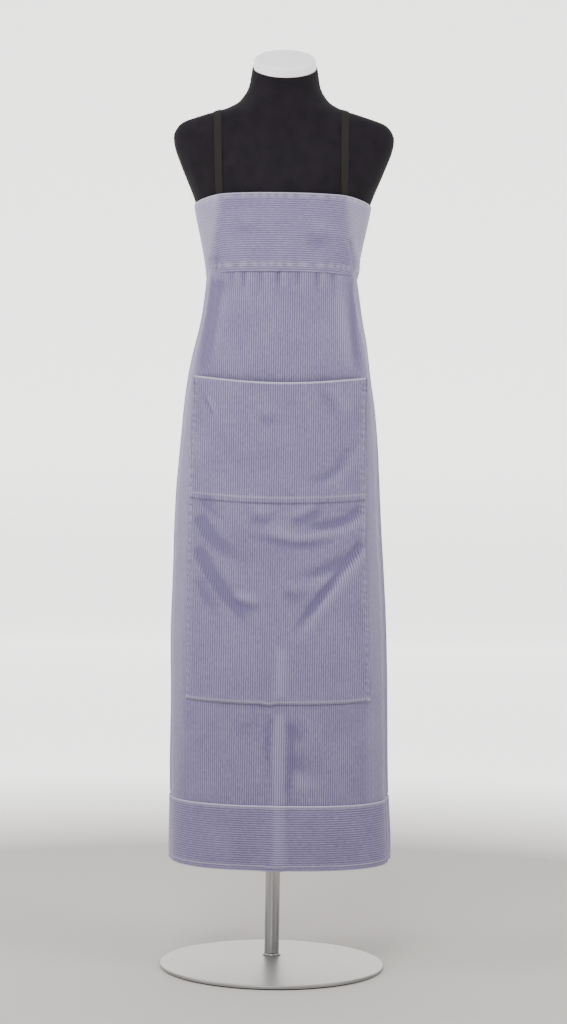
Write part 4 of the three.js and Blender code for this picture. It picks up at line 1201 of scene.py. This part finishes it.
# ---- Stitching --------------------------------------------------------------------------------


def band_stitches(name, down_of, shape_of, high, low):
    """Stitch lines along a band at distances from its upper edge."""
    middle = (HEM_LOW + HEM_HIGH) / 2 if name.startswith("hem") else (BAND_LOW + BAND_HIGH) / 2
    start, end = -math.pi - lap_turn(middle), math.pi + lap_turn(middle)
    turn = np.linspace(start, end, 1500)
    spots = garment.point(angle_of(turn), middle)
    runs = np.concatenate([[0], np.cumsum(np.linalg.norm(np.diff(spots, axis=0), axis=1))])
    depth = high(turn) - low(turn)
    paths = []
    for down in down_of:
        held = down if down > 0 else depth + down
        held = held + 0 * turn
        height = high(turn) - held
        base = garment.point(angle_of(turn), height)
        more, _ = shape_of(base, turn, held, depth, runs)
        total = more + wale(held) + 0.8 * MM
        total = total - under_lap(base[..., 0], base[..., 1]) * np.where(turn < -math.pi / 2, 1, 0)
        normal = garment.normal(angle_of(turn), height)
        paths.append((base + normal * total[..., None], normal))
    stitches(name, THREAD, paths, "form")


band_stitches("bib_stitches", [7.6 * MM, -13 * MM], bib_shape, band_top, lambda t: BAND_LOW + 0 * t)
band_stitches("hem_stitches", [2.6 * MM, 8.5 * MM, -8.5 * MM], hem_shape, lambda t: HEM_HIGH + 0 * t,
              hem_low)


def pocket_path(xs, zs, extra):
    inside = pocket_half(zs) - np.abs(xs - pocket_x(zs))
    base = pocket_face.point(xs, zs)
    total = pocket_folds(xs, zs) * smooth(inside / (10 * MM)) + ripple(xs, zs,
                                                                       0.7) * smooth(inside / (14 * MM))
    total = total + puckers(zs + 0.3 * xs, 1.5, 13 * MM) * near(inside - 3 * MM, 6)
    total = total - 1.5 * MM * near(inside, 5) - 0.9 * MM * near(inside, 1.2) + wale(xs, 0.4 * MM) + extra
    normal = pocket_face.normal(xs, zs)
    return base + normal * total[..., None], normal


def pocket_stitches():
    paths = []
    for sign in (-1, 1):
        z = np.linspace(POCKET_LOW + 8 * MM, POCKET_HIGH - 3 * MM, 500)
        x = pocket_x(z) + sign * (pocket_half(z) - 4 * MM)
        paths.append(pocket_path(x, z, 0.15 * MM))
        paths.append(pocket_path(x - sign * 5 * MM, z, 0.1 * MM))
    x = pocket_x(POCKET_LOW) + np.linspace(-1, 1, 400) * (POCKET_WIDE - 5 * MM)
    paths.append(pocket_path(x, pocket_bottom(x) + 4 * MM, puckers(x, 0.4, 10 * MM)))
    x = pocket_x(SEAM_HIGH) + np.linspace(-1, 1, 400) * (pocket_half(SEAM_HIGH) - 5 * MM)
    paths.append(pocket_path(x, pocket_seam(x) + 10 * MM,
                             0.9 * MM * math.exp(-1) + puckers(x, 0.35, 10 * MM) * 0.6))
    stitches("pocket_stitches", THREAD, paths, "form")


pocket_stitches()

# ---- Back buttons -----------------------------------------------------------------------------


def button(node):
    """A four-hole button with a raised rim, sewn on through its holes."""
    low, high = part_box(node)
    centre = (low + high) / 2
    turn = math.atan2(centre.x, AXIS_Y - centre.y)
    normal = Vector(garment.normal(np.array(angle_of(turn)), np.array(centre.z)).ravel())
    r, half = 9 * MM, 1.7 * MM
    place = Matrix.Translation(centre) @ Vector((0, 0, 1)).rotation_difference(normal).to_matrix().to_4x4()
    profile = [(0, -half), (r - 2 * MM, -half), (r, -half + 1.2 * MM), (r, half - 1 * MM),
               (r - 1.2 * MM, half),
               (r - 2.6 * MM, half - 0.1 * MM), (r - 3.4 * MM, half - 1 * MM), (0, half - 1 * MM)]
    disc = lathe(node + "_sewn", BUTTON, rounded(profile, 0.6 * MM), 72, Matrix.Identity(4), "form")
    holes = []
    for x in (-1, 1):
        for y in (-1, 1):
            bpy.ops.mesh.primitive_cylinder_add(radius=0.95 * MM, depth=8 * MM, vertices=20,
                                                location=(x * 1.9 * MM, y * 1.9 * MM, 0))
            holes.append(bpy.context.object)
    for hole in holes:
        cutter = disc.modifiers.new("hole", "BOOLEAN")
        cutter.object = hole
        cutter.solver = "EXACT"
        bpy.context.view_layer.objects.active = disc
        bpy.ops.object.modifier_apply(modifier="hole")
    for hole in holes:
        bpy.data.objects.remove(hole)
    disc.data.transform(place)
    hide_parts(node)
    paths = []
    for y in (-1, 1):
        for k in range(3):
            across = np.linspace(-1, 1, 9)
            arch = half - 1 * MM + 0.5 * MM * (1 - across**4)
            local = [Vector((a * 1.95 * MM, y * 1.9 * MM + (k - 1) * 0.35 * MM, h)) for a,
                     h in zip(across, arch)]
            paths.append((np.array([place @ p for p in local]), np.array([normal] * 9)))
    return disc, paths


sewn = []
for number in (1, 2, 3):
    sewn += button("back_button_%d" % number)[1]
stitches("button_threads", THREAD, sewn, "form", length=3.7, gap=0.1, thick=0.45)

# ---- Everything else keeps its CAD shape -------------------------------------------------------

for row in frame["record"]["subparts"]:
    materials = frame["nodes"][row["node"]].data.materials
    materials.clear()
    materials.append(FINISH_OF_SLOT[row["material_slot"]])

# ---- Stage ------------------------------------------------------------------------------------


def backdrop():
    """A pale floor that grows paler away from the object, and sweeps up into a wall far behind. Its far part also
    glows, and so lights the object from behind.
    """
    near_edge, bend, rise, top, side = -9.0, 8.0, 1.0, 9.0, 12.0
    line = [(near_edge, 0.0), (bend, 0.0)]
    for k in range(1, 13):
        turn = math.pi / 2 * k / 12
        line.append((bend + rise * math.sin(turn), rise * (1 - math.cos(turn))))
    line.append((bend + rise, top))
    points, faces = [], []
    for x in (-side, side):
        points += [(x, y, z) for y, z in line]
    count = len(line)
    for k in range(count - 1):
        faces.append([k, k + count, k + count + 1, k + 1])
    material, shader = finish_named("pale matt floor", Roughness=0.8)
    place = put(material, "ShaderNodeTexCoord").outputs["Object"]
    middle = put(material, "ShaderNodeVectorMath", {"operation": "LENGTH"}, {0: place}).outputs["Value"]
    share = put(material, "ShaderNodeMapRange", inputs={0: middle, 1: 1.3, 2: 2.6}).outputs[0]
    feed(material, shader, Base_Color=blend_colours(material, share, shade("C4BFBA"), shade("F4F3F1")))
    glow = put(material, "ShaderNodeMapRange", inputs={0: share, 3: 0.0, 4: 1.7}).outputs[0]
    shader.inputs["Emission Color"].default_value = shade("FFFEFC")
    feed(material, shader, Emission_Strength=glow)
    floor = mesh_object("floor", points, faces, material)


def lamp(name, place, target, width, height, power):
    light = bpy.data.lights.new(name, "AREA")
    light.shape = "RECTANGLE"
    light.size, light.size_y, light.energy = width, height, power
    obj = link(bpy.data.objects.new(name, light))
    obj.location = place
    obj.rotation_euler = (Vector(target) - Vector(place)).to_track_quat("-Z", "Y").to_euler()


backdrop()
lamp("front", (-1.0, -3.6, 3.9), (0, 0, 0.8), 2.2, 1.8, 140)
lamp("right", (3.2, -1.6, 2.4), (0, 0, 0.8), 1.6, 2.6, 56)
lamp("left", (-3.0, -0.8, 2.2), (0, 0, 0.8), 1.6, 2.6, 56)
lamp("top", (0, 0.0, 4.2), (0, 0, 0.6), 3.0, 2.0, 60)
world = bpy.data.worlds.new("studio")
bpy.context.scene.world = world
world.use_nodes = True
world.node_tree.nodes["Background"].inputs["Color"].default_value = shade("F2F1F0")
world.node_tree.nodes["Background"].inputs["Strength"].default_value = 0.42
